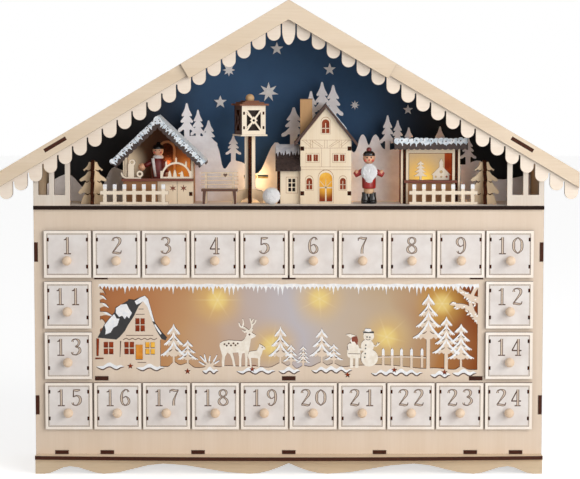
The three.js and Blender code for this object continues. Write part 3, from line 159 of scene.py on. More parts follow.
def birch_board(name, light, dark, along="Z", scorch=0.55, strength=0.8, reach=0.0005):
    """Birch for a sheet of the scene, browned within reach of its laser-cut edges."""
    material, tree, shader = new_material(name, 0.62)
    tone, lines = grained(tree, colour(light), colour(dark), along, strength)
    if scorch:
        burnt_share = node(tree, "Math", {0: edge_mark(tree, reach), 1: scorch}, operation="MULTIPLY")
        tone = node(
            tree, "Mix", {"Factor": burnt_share.outputs[0], "A": tone, "B": scorch_line},
            data_type="RGBA"
        ).outputs[2]
    tree.links.new(tone, shader.inputs["Base Color"])
    bump = node(tree, "Bump", {"Height": lines, "Strength": 0.12, "Distance": 0.0002})
    tree.links.new(bump.outputs[0], shader.inputs["Normal"])
    return material


burnt_light, burnt_dark, scorch_line = (colour(tone) for tone in ("542814", "1a0904", "5a3420"))


def burnt_edge():
    """A laser-cut edge: three layers, the middle one paler, all browned by the beam."""
    material, tree, shader = new_material("burnt_edge", 0.8, 0.1)
    place = node(tree, "TexCoord").outputs["Object"]
    layers = node(tree, "TexNoise", {"Vector": place, "Scale": 700, "Detail": 4})
    ramp = node(tree, "MapRange", {"Value": layers.outputs["Fac"], "From Min": 0.35, "From Max": 0.7})
    tone = node(
        tree, "Mix", {"Factor": ramp.outputs[0], "A": burnt_dark, "B": burnt_light}, data_type="RGBA"
    )
    tree.links.new(tone.outputs[2], shader.inputs["Base Color"])
    return material


def cut_board(name, axis, along, light="dfc7a8", dark="cdae88", scorch=0.5):
    """Plywood for a CAD board: faces square to the axis are birch and all others burnt edges;
    "not Z" is the other way round, for boards joined to a ring or a rack."""
    material, tree, shader = new_material(name, 0.65, 0.2)
    tone, lines = grained(tree, colour(light), colour(dark), along, 0.8)
    mark = node(tree, "Math", {0: edge_mark(tree, 0.0005), 1: scorch}, operation="MULTIPLY")
    tone = node(tree, "Mix", {"Factor": mark.outputs[0], "A": tone, "B": scorch_line},
                data_type="RGBA")
    normal = node(tree, "TexCoord").outputs["Normal"]
    way = {"X": (1, 0, 0), "Y": (0, 1, 0), "Z": (0, 0, 1)}[axis[-1]]
    facing_it = node(tree, "VectorMath", {0: normal, 1: way}, operation="DOT_PRODUCT")
    size = node(tree, "Math", {0: facing_it.outputs["Value"]}, operation="ABSOLUTE")
    test = "GREATER_THAN" if axis.startswith("not ") else "LESS_THAN"
    on_edge = node(tree, "Math", {0: size.outputs[0], 1: 0.7}, operation=test)
    layers = node(tree, "TexNoise", {"Vector": node(tree, "TexCoord").outputs["Object"], "Scale": 700,
                                     "Detail": 4})
    burnt = node(
        tree, "Mix", {"Factor": layers.outputs["Fac"], "A": burnt_dark, "B": burnt_light},
        data_type="RGBA"
    )
    both = node(
        tree, "Mix", {"Factor": on_edge.outputs[0], "A": tone.outputs[2], "B": burnt.outputs[2]},
        data_type="RGBA"
    )
    tree.links.new(both.outputs[2], shader.inputs["Base Color"])
    bump = node(tree, "Bump", {"Height": lines, "Strength": 0.12, "Distance": 0.0002})
    tree.links.new(bump.outputs[0], shader.inputs["Normal"])
    return material


def plain_paint(name, light, dark, roughness=0.6, scale=260, bump=0.08, distance=0.0002):
    """A matt or satin coat of paint or wash with a slightly uneven tone."""
    material, tree, shader = new_material(name, roughness)
    place = node(tree, "TexCoord").outputs["Object"]
    cloud = node(tree, "TexNoise", {"Vector": place, "Scale": scale, "Detail": 5})
    ramp = node(tree, "MapRange", {"Value": cloud.outputs["Fac"], "From Min": 0.35, "From Max": 0.65})
    tone = node(
        tree, "Mix", {"Factor": ramp.outputs[0], "A": colour(light), "B": colour(dark)}, data_type="RGBA"
    )
    tree.links.new(tone.outputs[2], shader.inputs["Base Color"])
    made = node(tree, "Bump", {"Height": cloud.outputs["Fac"], "Strength": bump, "Distance": distance})
    tree.links.new(made.outputs[0], shader.inputs["Normal"])
    return material


burnt = burnt_edge()
engraved = plain_paint("engraved_line", "3a2012", "573620", 0.85, 900)
snow_paint = plain_paint("snow_paint", "fbf9f7", "eaecf0", 0.75, 420, 0.5, 0.0006)
black_paint = plain_paint("black_paint", "0f0d0f", "1a1718", 0.6, 300)

# Sheets: every laser-cut piece starts from a drawing of outlines laid over each other.
# "add" leaves wood, "cut" takes it out, in order; paints colour what lies under them.
mm = 0.001
panel_face = -35  # part Y of the front panel's face; depths are measured back from it


def facing(x, z, depth):
    """A sheet that faces the front: a point of its drawing, at a depth behind the panel's face."""
    return Vector((x, depth + panel_face, z)) * mm


def sideways(depth, z, x):
    """A sheet that stands fore and aft, drawn in depth and height."""
    return Vector((x, depth + panel_face, z)) * mm


def lying(x, depth, z):
    """A sheet that lies flat, drawn in width and depth."""
    return Vector((x, depth + panel_face, z)) * mm


def one_way_round(outline):
    turn = sum(a[0] * b[1] - b[0] * a[1] for a, b in zip(outline, outline[1:] + outline[:1]))
    return outline if turn > 0 else outline[::-1]


def add_sheet(bm, steps, near, far, lay=facing, paints=(), edge=1, face=0):
    """Adds a sheet between two levels; steps are (add or cut, outline), paints (slot, outline)."""
    corners, outlines = [], []
    for _, outline in [*steps, *paints]:
        first = len(corners)
        corners += [Vector(point) for point in one_way_round(list(outline))]
        outlines.append(list(range(first, len(corners))))
    points, _, triangles, _, _, owners = delaunay_2d_cdt(corners, [], outlines, 1, 1e-4)
    level = {}
    sheet = []
    for triangle, inside in zip(triangles, owners):
        solid = False
        for index, (kind, _) in enumerate(steps):
            if index in inside:
                solid = kind == "add"
        if not solid:
            continue
        slot = face
        for index, (paint, _) in enumerate(paints):
            if len(steps) + index in inside:
                slot = paint
        for v in triangle:
            if v not in level:
                level[v] = bm.verts.new(lay(*points[v], near))
        made = bm.faces.new([level[v] for v in triangle])
        made.material_index = slot
        sheet.append(made)
    grown = bmesh.ops.extrude_face_region(bm, geom=sheet)["geom"]
    moved = [g for g in grown if isinstance(g, bmesh.types.BMVert)]
    bmesh.ops.translate(bm, verts=moved, vec=lay(0, 0, far) - lay(0, 0, near))
    for g in grown:
        if isinstance(g, bmesh.types.BMFace):
            g.material_index = face
    shell = {f for v in [*level.values(), *moved] for f in v.link_faces}
    bmesh.ops.recalc_face_normals(bm, faces=list(shell))
    axis = (lay(0, 0, 1) - lay(0, 0, 0)).normalized()
    for f in shell:
        if abs(f.normal.dot(axis)) < 0.5:
            f.material_index = edge
    return shell


def rect(x0, x1, z0, z1):
    """A rectangle between two sides and two heights."""
    return [(x0, z0), (x1, z0), (x1, z1), (x0, z1)]


def disc(x, z, radius, steps=24, squash=1.0):
    """A round outline, flattened by squash."""
    turns = [2 * math.pi * i / steps for i in range(steps)]
    return [(x + radius * math.cos(t), z + radius * squash * math.sin(t)) for t in turns]


def arch(x0, x1, z0, z1, steps=12):
    """A window with a round top whose straight sides end at z1."""
    middle, radius = (x0 + x1) / 2, (x1 - x0) / 2
    top = [math.pi * i / steps for i in range(steps + 1)]
    return [(x0, z0), (x1, z0)] + [(middle + radius * math.cos(t), z1 + radius * math.sin(t)) for t in top]


def star(x, z, radius, points=5, waist=0.42):
    """A star with one point up; waist is how far in its inner corners lie."""
    made = []
    for i in range(2 * points):
        reach = radius if i % 2 == 0 else radius * waist
        angle = math.pi / 2 + math.pi * i / points
        made.append((x + reach * math.cos(angle), z + reach * math.sin(angle)))
    return made


def flowing(points, steps=6, closed=False):
    """A smooth line through the points."""
    made = []
    count = len(points)
    for i in range(count if closed else count - 1):
        if closed:
            a, b, c, d = (points[(i + k) % count] for k in (-1, 0, 1, 2))
        else:
            a, b = points[max(i - 1, 0)], points[i]
            c, d = points[i + 1], points[min(i + 2, count - 1)]
        for j in range(steps):
            t = j / steps
            made.append(
                tuple(
                    0.5 * (2 * q + (r - p) * t + (2 * p - 5 * q + 4 * r - s) * t**2
                           + (3 * q - p - 3 * r + s) * t**3)
                    for p, q, r, s in zip(a, b, c, d)
                )
            )
    return made if closed else made + [tuple(points[-1])]


thinnest = 0.1  # mm, so that no line vanishes where it tapers


def stroke(points, widths, steps=4):
    """The outline of a line drawn through the points, as wide as given at each."""
    if isinstance(widths, (int, float)):
        widths = [widths] * len(points)
    line = flowing([(*p, w) for p, w in zip(points, widths)], steps)
    left, right = [], []
    for i, (x, z, w) in enumerate(line):
        w = max(w, thinnest)
        x0, z0, _ = line[max(i - 1, 0)]
        x1, z1, _ = line[min(i + 1, len(line) - 1)]
        length = math.hypot(x1 - x0, z1 - z0) or 1
        nx, nz = (z0 - z1) / length * w / 2, (x1 - x0) / length * w / 2
        left.append((x + nx, z + nz))
        right.append((x - nx, z - nz))
    return left + right[::-1]


def finish_piece(bm, name, materials, body="case", stands_for=(), smooth=False):
    """Puts a finished mesh in the scene, on its body, in place of the CAD nodes it stands for."""
    mesh = bpy.data.meshes.new(name)
    for material in materials:
        mesh.materials.append(material)
    if smooth is not None:
        for f in bm.faces:
            f.smooth = smooth
    bm.to_mesh(mesh)
    bm.free()
    piece = bpy.data.objects.new(name, mesh)
    scene.collection.objects.link(piece)
    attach(piece, body)
    if stands_for:
        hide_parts(*stands_for)
    return piece


def dress(name, material):
    """A CAD board keeps its shape and gets a material."""
    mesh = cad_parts[name].data
    mesh.materials.clear()
    mesh.materials.append(material)


# Base: a bow-fronted plywood board on a skirt whose lower edge is cut in waves between the
# feet. The side walls and the racks of the drawers stand on the board, tabbed and glued.
dress("base_board", cut_board("base_board_birch", "Z", "X", "f2e0c8", "e4cba8"))
dress("base_skirt", cut_board("skirt_birch", "not Z", "X", "dac6aa", "cbb394"))
dress("left_side_wall", cut_board("side_wall_birch", "X", "Z"))
dress("right_side_wall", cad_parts["left_side_wall"].data.materials[0])
rack_birch = cut_board("rack_birch", "not Y", "X", scorch=0)
dress("upper_rack", rack_birch)
dress("lower_rack", rack_birch)

# Front panel: one sheet with the drawers' openings, the tabs' slots and the fretwork
# picture; its snow, roofs and outlines are painted or engraved on the sheet.
pitch_x, pitch_z = 39.1, 40.7
row_z = [54.4 + pitch_z * row for row in range(4)]
column_x = [(column - 4.5) * pitch_x for column in range(10)]
places = [(x, row_z[3]) for x in column_x]
places += [(column_x[0], row_z[2]), (column_x[9], row_z[2]), (column_x[0], row_z[1]),
           (column_x[9], row_z[1])]
places += [(x, row_z[0]) for x in column_x]

panel_steps = [("add", rect(-203, 203, 15, 212))]
for x, z in places:
    panel_steps.append(("cut", rect(x - 17.4, x + 17.4, z - 17.1, z + 17.2)))
for x in (-149.7, 0, 149.7):
    for z in (75.0, 156.4):
        panel_steps.append(("cut", rect(x - 5.4, x + 5.4, z - 0.2, z + 3.2)))
for share in (-1, -0.8, -0.4, 0, 0.4, 0.8, 1):
    x = share * 182.2
    panel_steps.append(("cut", rect(x - 5.4, x + 5.4, 14, 18.2)))
for low in (47.3, 170.3):
    panel_steps.append(("cut", rect(-204, -199.8, low, low + 15.4)))
    panel_steps.append(("cut", rect(199.8, 204, low, low + 15.4)))
panel_steps.append(("cut", rect(-150.7, 150.9, 82.2, 151.9)))

SNOW, LINE, BLACK, BROWN, PALE = 2, 3, 4, 5, 6
paints = []

# the ground under the picture, with banks where the firs stand
bank = [(-152, 86.3), (-103, 86.0), (-96.5, 86.0), (-92, 89.6), (-87, 87.2), (-80.8, 88.6), (-75.5, 85.2)]
bank += [(-69, 85.2), (-63, 86.6), (-56, 85.5), (-50, 86.6), (-39, 86.2), (-28, 86.4), (-20, 85.4),
         (-14, 85.6)]
bank += [(-6.6, 89), (-1, 86.6), (1.9, 88), (6.3, 84.4), (11.5, 86.6), (18, 86), (26, 89.4), (31, 87),
         (36, 88.6)]
bank += [(43, 85.8), (52, 86.6), (64, 87.2), (73, 87.4), (86, 86.6), (98, 85.2), (108, 84.3), (116, 84.8)]
bank += [(126, 84), (133, 83.6), (138, 86), (144, 83.5), (152, 83.5)]
panel_steps.append(("add", [(-152, 81), *flowing(bank, 5), (152, 81)]))


def fir(x, low, high, half, tiers, trunk=0.9, first=0.5):
    """A fir of drooping boughs: its outlines, the snow on the boughs and the marks under them."""
    step = (high - low) * 0.84 / (tiers + 0.2)
    outlines, snow, marks = [[(x - trunk, low), (x + trunk, low), (x + trunk * 0.7, high - step),
                              (x - trunk * 0.7, high - step)]], [], []
    for tier in range(tiers):
        reach = half * (first + (1 - first) * tier / max(1, tiers - 1))
        top_z = high - 0.8 * step * tier
        tip_z = high - step * (tier + 1)
        for side in (1, -1):
            over = flowing([(x, top_z), (x + side * reach * 0.24, top_z - 0.36 * (top_z - tip_z)),
                            (x + side * reach * 0.64, tip_z + 0.36 * step),
                            (x + side * reach, tip_z + 0.05 * step)], 4)
            teeth = [(x + side * reach * share, tip_z + step * drop) for share, drop in (
                (0.95, -0.1), (0.86, 0.06), (0.76, -0.14), (0.62, 0.04), (0.5, -0.16), (0.34, 0.06),
                (0.2, -0.12), (0.0, -0.1))]
            outlines.append(over + teeth)
            deep = min(0.3 * step, 2.0)
            snow.append(over + [(px - side * 0.02 * reach, pz - deep * (0.9 + 0.5 * (i % 2))) for i,
                                (px, pz) in enumerate(over[1:-1])][::-1])
            if tier:
                line = [(x + side * reach * 0.1, tip_z + 0.62 * step),
                        (x + side * reach * 0.26, tip_z + 0.44 * step),
                        (x + side * reach * 0.4, tip_z + 0.4 * step)]
                marks.append(stroke(line, [0.3, 0.8, 0.3], 2))
    return outlines, snow, marks


def add_fir(steps, paints, *size, **more):
    outlines, snow, marks = fir(*size, **more)
    steps.extend(("add", outline) for outline in outlines)
    paints.extend((SNOW, outline) for outline in snow)
    paints.extend((LINE, outline) for outline in marks)


# icicles along the top, white on the sheet's face
random.seed(24)
icicles = [(152, 153), (-152, 153), (-152, 149.6)]
x = -150.6
while x < 149.5:
    step = random.uniform(2.4, 4.0)
    long = random.uniform(4.6, 7.6) if random.random() < 0.26 else random.uniform(1.4, 3.6)
    icicles += [(x, 150.6 + random.uniform(-0.6, 0.5)), (x + step * 0.3, 150.2 - 0.3 * long),
                (x + step * 0.5, 149.9 - long), (x + step * 0.72, 150.1 - 0.25 * long)]
    x += step
icicles.append((152, 149.6))
panel_steps.append(("add", icicles))
snow_top = flowing([(-151.5 + 5.05 * i, 152.4 + 0.35 * math.sin(i * 1.9)) for i in range(61)], 2)
paints.append((SNOW, snow_top + [p for p in icicles[::-1] if p[1] < 152][:]))

# the cottage: a steep roof with snow, a gable with windows and a door
wall = [(-153, 84), (-153, 109.8), (-151, 112.8), (-147.4, 120), (-143.4, 125), (-139.3, 129.6),
        (-138.3, 133.6)]
wall += [(-133.2, 136.2), (-128.7, 138.8), (-128.1, 140.1), (-123.6, 139.5), (-118.5, 141.8),
         (-114.9, 142.9)]
wall += [(-112.3, 140.3), (-109.8, 131.1), (-106.8, 120.9), (-101.7, 113.8), (-97.5, 109.2), (-98.4, 107.0)]
wall += [(-101.7, 108.0), (-102.7, 107.5), (-102.7, 84)]
panel_steps.append(("add", wall))
roof = [(-152.9, 109.4), (-151, 112.8), (-147.4, 120), (-143.4, 125), (-139.3, 129.6), (-138.3, 133.6)]
roof += [(-133.2, 136.2), (-128.7, 138.8), (-128.1, 140.1), (-123.6, 139.5), (-118.5, 141.8),
         (-114.9, 142.9)]
roof += [(-112.3, 140.3), (-109.8, 131.1), (-106.8, 120.9), (-101.7, 113.8), (-97.5, 109.2), (-98.4, 107.0)]
roof += [(-101.7, 108.2), (-105.7, 114.8), (-108.8, 122), (-112.9, 134.2), (-116.4, 138.5), (-120, 134.2)]
roof += [(-124, 126), (-128.1, 119.9), (-131.2, 114.3), (-135.2, 109.8), (-137.8, 107.7), (-152.5, 109.2)]
paints.append((BLACK, roof))
paints.append((SNOW, [(-138, 133), (-134, 135.8), (-129.4, 136.4), (-127.6, 132.6), (-125.2, 129.2),
                      (-127.6, 124.8),
                      (-129.4, 126.6), (-131, 124.2), (-133, 127), (-135.6, 126), (-138, 129.2)]))
paints.append((SNOW, [(-147.2, 119.4), (-142.6, 125.2), (-139.4, 128.2), (-137.4, 124.6), (-135.2, 124.6),
                      (-137, 119), (-140.2, 117.2), (-142.4, 113.4), (-146.6, 111.8), (-146.2, 115.4)]))
paints.append((SNOW, [(-123, 138.6), (-118.6, 141.4), (-114.9, 142.9), (-112.3, 140.3), (-109.8, 131.1),
                      (-107.3, 122), (-108.9, 122.6), (-112.9, 134.2), (-116.4, 138.5), (-118.6, 137),
                      (-121.6, 135.8)]))
paints.append((SNOW, [(-106.6, 120.2), (-103.6, 115.6), (-101.6, 112.4), (-102.6, 111.8), (-105.4, 115.8),
                      (-107.6, 119.6)]))
for x, z, wide, high in ((-147.9, 96, 7.6, 9.8), (-131.4, 96, 7.6, 9.8), (-114.7, 95.8, 7.6, 9.8),
                         (-122.5, 114.4, 7.4, 10.4)):
    pane_wide, pane_high = (wide - 0.9) / 2, (high - 0.9) / 2
    for dx in (0, pane_wide + 0.9):
        for dz in (0, pane_high + 0.9):
            panel_steps.append(("cut", rect(x + dx, x + dx + pane_wide, z + dz, z + dz + pane_high)))
panel_steps.append(("cut", rect(-122.4, -116.8, 91.6, 103.6)))
panel_steps.append(("cut", [(-153.8, 94.6), (-152.2, 94.6), (-151.6, 108.4), (-153.8, 108.8)]))
panel_steps.append(("cut", [(-154.8, 91.9), (-148.2, 92.2), (-148.2, 93), (-154.6, 93.2)]))
for line in (
    [(-120.0, 132.3), (-115.9, 132.3)], [(-122.2, 128.1), (-115.1, 128.1)],
    [(-130.1, 111.1), (-108.3, 111.1)],
    [(-121, 89.3), (-114, 89.3)],
):
    paints.append((LINE, stroke(line, 0.5, 1)))
paints.append((LINE, stroke([(-135.0, 93.6), (-134.4, 106.6)], [0.4, 1.0], 1)))
wave = [(-132.4 + 2.45 * i, 108.2 + (0.55 if i % 2 else -0.55)) for i in range(12)]
paints.append((LINE, stroke(wave, 0.6, 3)))

# boughs that reach in from the left edge
for droop in (
    [(-151.6, 149), (-148.4, 147.6), (-146, 143.6), (-147.6, 145.4), (-151.6, 145.6)],
    [(-151.6, 143.4), (-148.2, 142.8), (-145.4, 139.6), (-148.2, 140.6), (-151.6, 139.6)],
    [(-151.6, 137.2), (-146.6, 136.6), (-143.6, 133.2), (-147.2, 134.4), (-151.6, 133)],
    [(-151.6, 130), (-145, 129.6), (-141.2, 126.6), (-146.4, 127.4), (-151.6, 126.6)],
    [(-151.6, 121.4), (-149.2, 124.2), (-146.4, 119.6), (-151.6, 116)],
):
    panel_steps.append(("add", flowing(droop, 4, closed=True)))
for droop in (
    [(-149.6, 142.9), (-148, 142.8), (-145.4, 139.6), (-148.0, 141.2)],
    [(-149.0, 136.9), (-146.6, 136.6), (-143.6, 133.2), (-147.0, 135)],
    [(-148.0, 129.8), (-145, 129.6), (-141.2, 126.6), (-146.0, 128.2)],
):
    paints.append((SNOW, flowing(droop, 3, closed=True)))

# firs
for size in (
    (-92, 88, 120.6, 10.4, 3), (-80.8, 87.6, 107.4, 8.2, 3), (-6.6, 87.8, 118.6, 9.6, 3),
    (1.9, 86.6, 104, 6.4, 3), (11.6, 85.8, 102.8, 5.4, 4), (26.4, 88.4, 117, 9.8, 3),
    (36, 87.8, 104.4, 7.4, 3),
    (137.8, 85.4, 120.6, 10.6, 4),
):
    add_fir(panel_steps, paints, *size)
for x, high, low_bough, half in ((111.6, 144.8, 108, 12.4), (126, 126.4, 97.5, 11.2)):
    add_fir(panel_steps, paints, x, low_bough - 8, high, half, 4, trunk=1.5, first=0.42)
    panel_steps.append(("add", rect(x - 1.6, x + 1.4, 83, low_bough + 4)))
    paints += [(LINE, stroke([(x - 1.7, 86), (x - 1.7, low_bough - 1)], 0.5, 1))]

# a bare shrub
for tips in (
    [(-63.4, 85.6), (-66.6, 89.6), (-71, 94.4)], [(-63.4, 85.6), (-66.2, 90), (-67.4, 95.8)],
    [(-63.2, 85.6), (-63.6, 90.6), (-62.8, 94.6)], [(-63, 85.6), (-60.2, 90), (-57.4, 95.2)],
    [(-63, 85.6), (-59.2, 88.4), (-55.4, 90.8)], [(-63.6, 85.6), (-68, 87.4), (-72, 90)],
):
    panel_steps.append(("add", stroke(tips, [2.4, 1.4, 0.7], 3)))
    paints.append((SNOW, stroke(tips[1:], [1.8, 1.4], 2)))

# the stag and the fawn
stag = [(-55.4, 102.8), (-54.9, 104.9), (-52.3, 106.5), (-47.7, 107.2), (-41.7, 106.8), (-37.6, 106.5)]
stag += [(-35.4, 108.1), (-34.1, 110.6), (-33.4, 113), (-35.6, 114.6), (-33.4, 115.4), (-31.4, 115.2)]
stag += [(-30.2, 113.6), (-26.4, 111.4), (-26.8, 109.9), (-29.0, 109), (-30.3, 108), (-31, 103),
         (-31.8, 99.4)]
stag += [(-33, 94), (-33.2, 86), (-34.9, 86), (-34.8, 92), (-35.2, 97), (-37.2, 96.6), (-38, 92), (-38, 86)]
stag += [(-39.7, 86), (-39.7, 94), (-40.4, 97.4), (-44.8, 97), (-43.6, 92), (-42.6, 86), (-44.3, 86)]
stag += [(-45.2, 91), (-46.8, 95.6), (-49, 97.3), (-51, 94), (-51.4, 91), (-51.6, 86), (-53.3, 86),
         (-53.6, 90)]
stag += [(-53.2, 94.6), (-54.4, 99)]
panel_steps.append(("add", stag))
paints.append((PALE, stag))
for antler, widths in (
    ([(-32.4, 114.6), (-35.2, 117), (-38.6, 118.2), (-39.8, 121.4)], [1.6, 1.3, 1.2, 0.8]),
    ([(-37, 117.8), (-36.2, 121), (-36.8, 124.4)], [1.2, 1.0, 0.7]),
    ([(-31.2, 114.6), (-29.4, 118), (-30, 121.6), (-31, 124.9)], [1.6, 1.4, 1.2, 0.8]),
    ([(-29.6, 119), (-27, 121.4), (-26.2, 123.8)], [1.3, 1.1, 0.7]),
    ([(-29.8, 121), (-28.2, 124.6)], [1.1, 0.7]),
    ([(-34.4, 113.6), (-37.4, 115.2)], [1.8, 0.7]),
    ([(-30.4, 113.2), (-28.8, 116.2)], [1.6, 0.7]),
):
    panel_steps.append(("add", stroke(antler, widths, 3)))
    paints.append((PALE, stroke(antler, widths, 3)))
for x, z in ((-51.4, 104), (-49.6, 102.9), (-48, 104.6), (-46.2, 103), (-44.2, 104.7), (-42.6, 103.2),
             (-40.8, 104.6)):
    paints.append((LINE, disc(x, z, 0.8, 8)))
paints.append((LINE, disc(-31.4, 111.8, 0.8, 8)))
fawn = [(-32.6, 95.5), (-31.4, 98), (-27.4, 98.6), (-25.4, 99), (-24.2, 101.6), (-23.4, 104.2),
        (-21.8, 103.4)]
fawn += [(-19.2, 101.6), (-18.5, 100.1), (-20.8, 99.1), (-21.5, 96.5), (-22.8, 93.5), (-23.1, 86),
         (-24.5, 86)]
fawn += [(-24.6, 92.5), (-27.4, 92.9), (-30.2, 93), (-29.6, 86), (-31.1, 86), (-31.5, 91.5), (-32.5, 93.4)]
panel_steps.append(("add", fawn))
paints.append((PALE, fawn))
paints.append((LINE, disc(-21.2, 101.4, 0.5, 8)))

# the child and the snowman
for part in (
    flowing([(47.6, 104), (46.8, 99), (47.8, 93.4), (57.2, 93), (57.2, 98), (55.6, 103), (53.4, 106)], 4,
            closed=True),
    rect(49, 51.4, 85, 94), rect(53.2, 55.8, 85, 94), disc(52.4, 106.8, 3.0, 18),
    [(45.6, 111.8), (49, 112.2), (54.4, 110.6), (55.4, 107.6), (50.2, 108.6)],
    stroke([(52.6, 101.4), (55.6, 100), (59.4, 99.6)], [2.4, 2.0, 1.6], 3),
    disc(64.4, 93, 7.0), disc(62.9, 102.6, 5.2), disc(63.9, 110.6, 4.3),
    [(59.4, 113), (68.2, 112.8), (68, 114), (66.2, 114.4), (65.6, 116.4), (61.2, 116.6), (60.6, 114.6),
     (59.2, 114.2)],
    stroke([(67, 103.4), (70, 102.4), (72.6, 105)], [1.2, 0.9, 0.8], 3),
    stroke([(70.4, 102.9), (71.2, 105.4)], [0.8, 0.6], 2),
):
    panel_steps.append(("add", part))
    paints.append((PALE, part))
for x, z in ((61.6, 103.2), (61.4, 100.6), (61.2, 96.4), (60.8, 93.4), (62.6, 109.8), (64.8, 109.6)):
    paints.append((BLACK, disc(x, z, 0.65, 8)))
for line in (
    stroke([(61.6, 108.2), (63.6, 107.4), (65.2, 108.2)], 0.5, 3),
    stroke([(47.4, 99), (46.8, 104.6), (50.0, 104.8)], 0.5, 3),
    stroke([(47.6, 96.4), (57.2, 96.2)], 0.45, 2),
    stroke([(57.8, 96.6), (57.9, 90.6), (60.4, 86.8)], 0.5, 3),
):
    paints.append((LINE, line))
paints.append((BROWN, flowing([(50.2, 109.4), (55.2, 110.4), (56.4, 106.4), (54.6, 103.4), (52.6, 106),
                               (50.8, 106)], 3, closed=True)))
paints.append((SNOW, [(45.6, 111.8), (49, 112.2), (50.6, 109.6), (48.2, 109.4), (47.2, 106.2), (50.0, 106),
                      (50.2, 108.6)]))
paints.append((BLACK, [(59.2, 113.9), (59.6, 113), (68.2, 112.8), (68, 114), (66.2, 114.3), (63.8, 113.8),
                       (61, 114.4)]))
paints.append((SNOW, [(60.8, 114.7), (63.8, 114.1), (66.1, 114.5), (65.4, 116.2), (61.4, 116.4)]))

# the picket fence
panel_steps.append(("add", stroke([(70.6, 93.4), (90, 93.8), (111, 93)], 1.3, 3)))
for i, x in enumerate((75.6, 82.7, 90.2, 98.2, 106.6)):
    panel_steps.append(("add", [*rect(x - 1.05, x + 1.05, 85, 99.6)[:2], (x + 1.05, 99.4), (x, 100.8),
                                (x - 1.05, 99.4)]))
    paints.append((SNOW, [(x - 1.2, 94.6), (x, 95.4), (x + 1.2, 94.4), (x + 1.3, 101), (x - 1.3, 101)]))

# a leafy bough in the upper right corner
panel_steps.append(("add", stroke([(152, 121), (146.6, 130.4), (139, 135), (128.6, 136)], [4, 3.6, 3, 1.2],
                                  4)))
panel_steps.append(("add", stroke([(152, 139), (143, 143), (134.6, 148.4), (131.8, 151)], [5, 4, 3, 2], 4)))
panel_steps.append(("add", stroke([(147, 131), (145, 138), (147.6, 146), (151, 152)], [3, 3, 3, 4], 4)))
random.seed(7)
for i in range(44):
    line = ((150.6, 123.5), (143, 133.4),
            (128.6, 136)) if i % 2 else ((150, 136), (141.6, 144), (131.8, 150.6))
    t = random.random()
    x = (1 - t) ** 2 * line[0][0] + 2 * t * (1 - t) * line[1][0] + t * t * line[2][0]
    z = (1 - t) ** 2 * line[0][1] + 2 * t * (1 - t) * line[1][1] + t * t * line[2][1]
    angle = random.uniform(0, 2 * math.pi)
    far = (x + 3.6 * math.cos(angle), z + 3.0 * math.sin(angle))
    if far[0] > 151.5 or far[1] > 151.5:
        continue
    panel_steps.append(("add", stroke([(x, z), ((x + far[0]) / 2, (z + far[1]) / 2), far], [0.8, 1.9, 0.4],
                                      2)))
    if i % 3:
        paints.append((SNOW, stroke([((x + far[0]) / 2, (z + far[1]) / 2), far], [1.3, 0.3], 1)))

# drifts of snow with a dark wavy line under each, and small cut stars
for x0, x1, z in ((-154, -131.7, 85.8), (-122, -99.6, 84.9), (-69.1, -56.4, 82.4), (-41.7, -10.7, 82.2),
                  (-8, 9, 82.4), (18.2, 50.7, 83), (65.9, 107.1, 80.8), (113.2, 129.5, 79.2),
                  (131, 150.3, 80.6)):
    waves = max(2, round((x1 - x0) / 9))
    low = [(x0 + (x1 - x0) * i / (4 * waves),
            z - 1.2 + 1.2 * math.sin(i * math.pi / 2 + 2)) for i in range(4 * waves + 1)]
    high = [(x, q + 3.4 * math.sin(math.pi * i / (4 * waves)) ** 0.5 + 0.2) for i, (x, q) in enumerate(low)]
    paints.append((SNOW, flowing(high, 2) + flowing(low, 2)[::-1]))
    paints.append((LINE, stroke(low, [0.5, *[0.95] * (4 * waves - 1), 0.4], 2)))
for x, z in ((-126.8, 86.3), (-81.0, 82.1), (-29.3, 83.7), (47.1, 79.2), (84.4, 83.1), (124.7, 81.3)):
    panel_steps.append(("cut", star(x, z, 2.5, 5, 0.42)))

red_wood = plain_paint("red_brown_stain", "8a3c20", "74301a", 0.6)
bm = bmesh.new()
add_sheet(bm, panel_steps, 0, 3, paints=paints)
panel_birch = birch_board("panel_birch", "e4d1bd", "dbc5ad", scorch=0.85, strength=0.6, reach=0.0006)
pale_face = plain_paint("pale_face", "f6eee2", "eadfce", 0.7, 300, 0.1)
finish_piece(bm, "panel_with_picture",
             [panel_birch, burnt, snow_paint, engraved, black_paint, red_wood, pale_face],
             stands_for=["front_panel"])

# Screen: a frosted film behind the picture; the light of the five lamps of the string
# behind it is painted into its colour as emission, lavender grey in the middle and amber
# towards the sides, with a glow and short rays round each lamp.
film, tree, shader = new_material("frosted_film", 0.5)
place = node(tree, "TexCoord").outputs["Object"]
split = node(tree, "SeparateXYZ", {0: place})
across = node(tree, "MapRange", {"Value": split.outputs["X"], "From Min": -0.152, "From Max": 0.152})
drift = node(tree, "TexNoise", {"Vector": place, "Scale": 14, "Detail": 2})
sway = node(tree, "MapRange", {"Value": drift.outputs["Fac"], "From Min": 0.3, "From Max": 0.7,
                               "To Min": -0.05, "To Max": 0.05})
swayed = node(tree, "Math", {0: across.outputs[0], 1: sway.outputs[0]}, operation="ADD")
ramp = node(tree, "ValToRGB", {"Fac": swayed.outputs[0]})
stops = [(0, "9c5c34"), (0.1, "b5774a"), (0.22, "c39467"), (0.34, "c6a283"), (0.43, "c3b2ab"),
         (0.5, "c3bbbe")]
stops += [(0.6, "cbb9a8"), (0.76, "c6ab8b"), (0.87, "b47a45"), (1, "8a4522")]
for position, hexa in stops[1:-1]:
    ramp.color_ramp.elements.new(position)
for element, (position, hexa) in zip(ramp.color_ramp.elements, stops):
    element.position = position
    element.color = colour(hexa)
tone = ramp.outputs[0]
# painted light: a glow, a brighter core and three short rays round each lamp
lamp_spots = [(-57.4, 138), (-13.5, 101), (24.7, 139), (78.9, 108), (123.5, 135)]
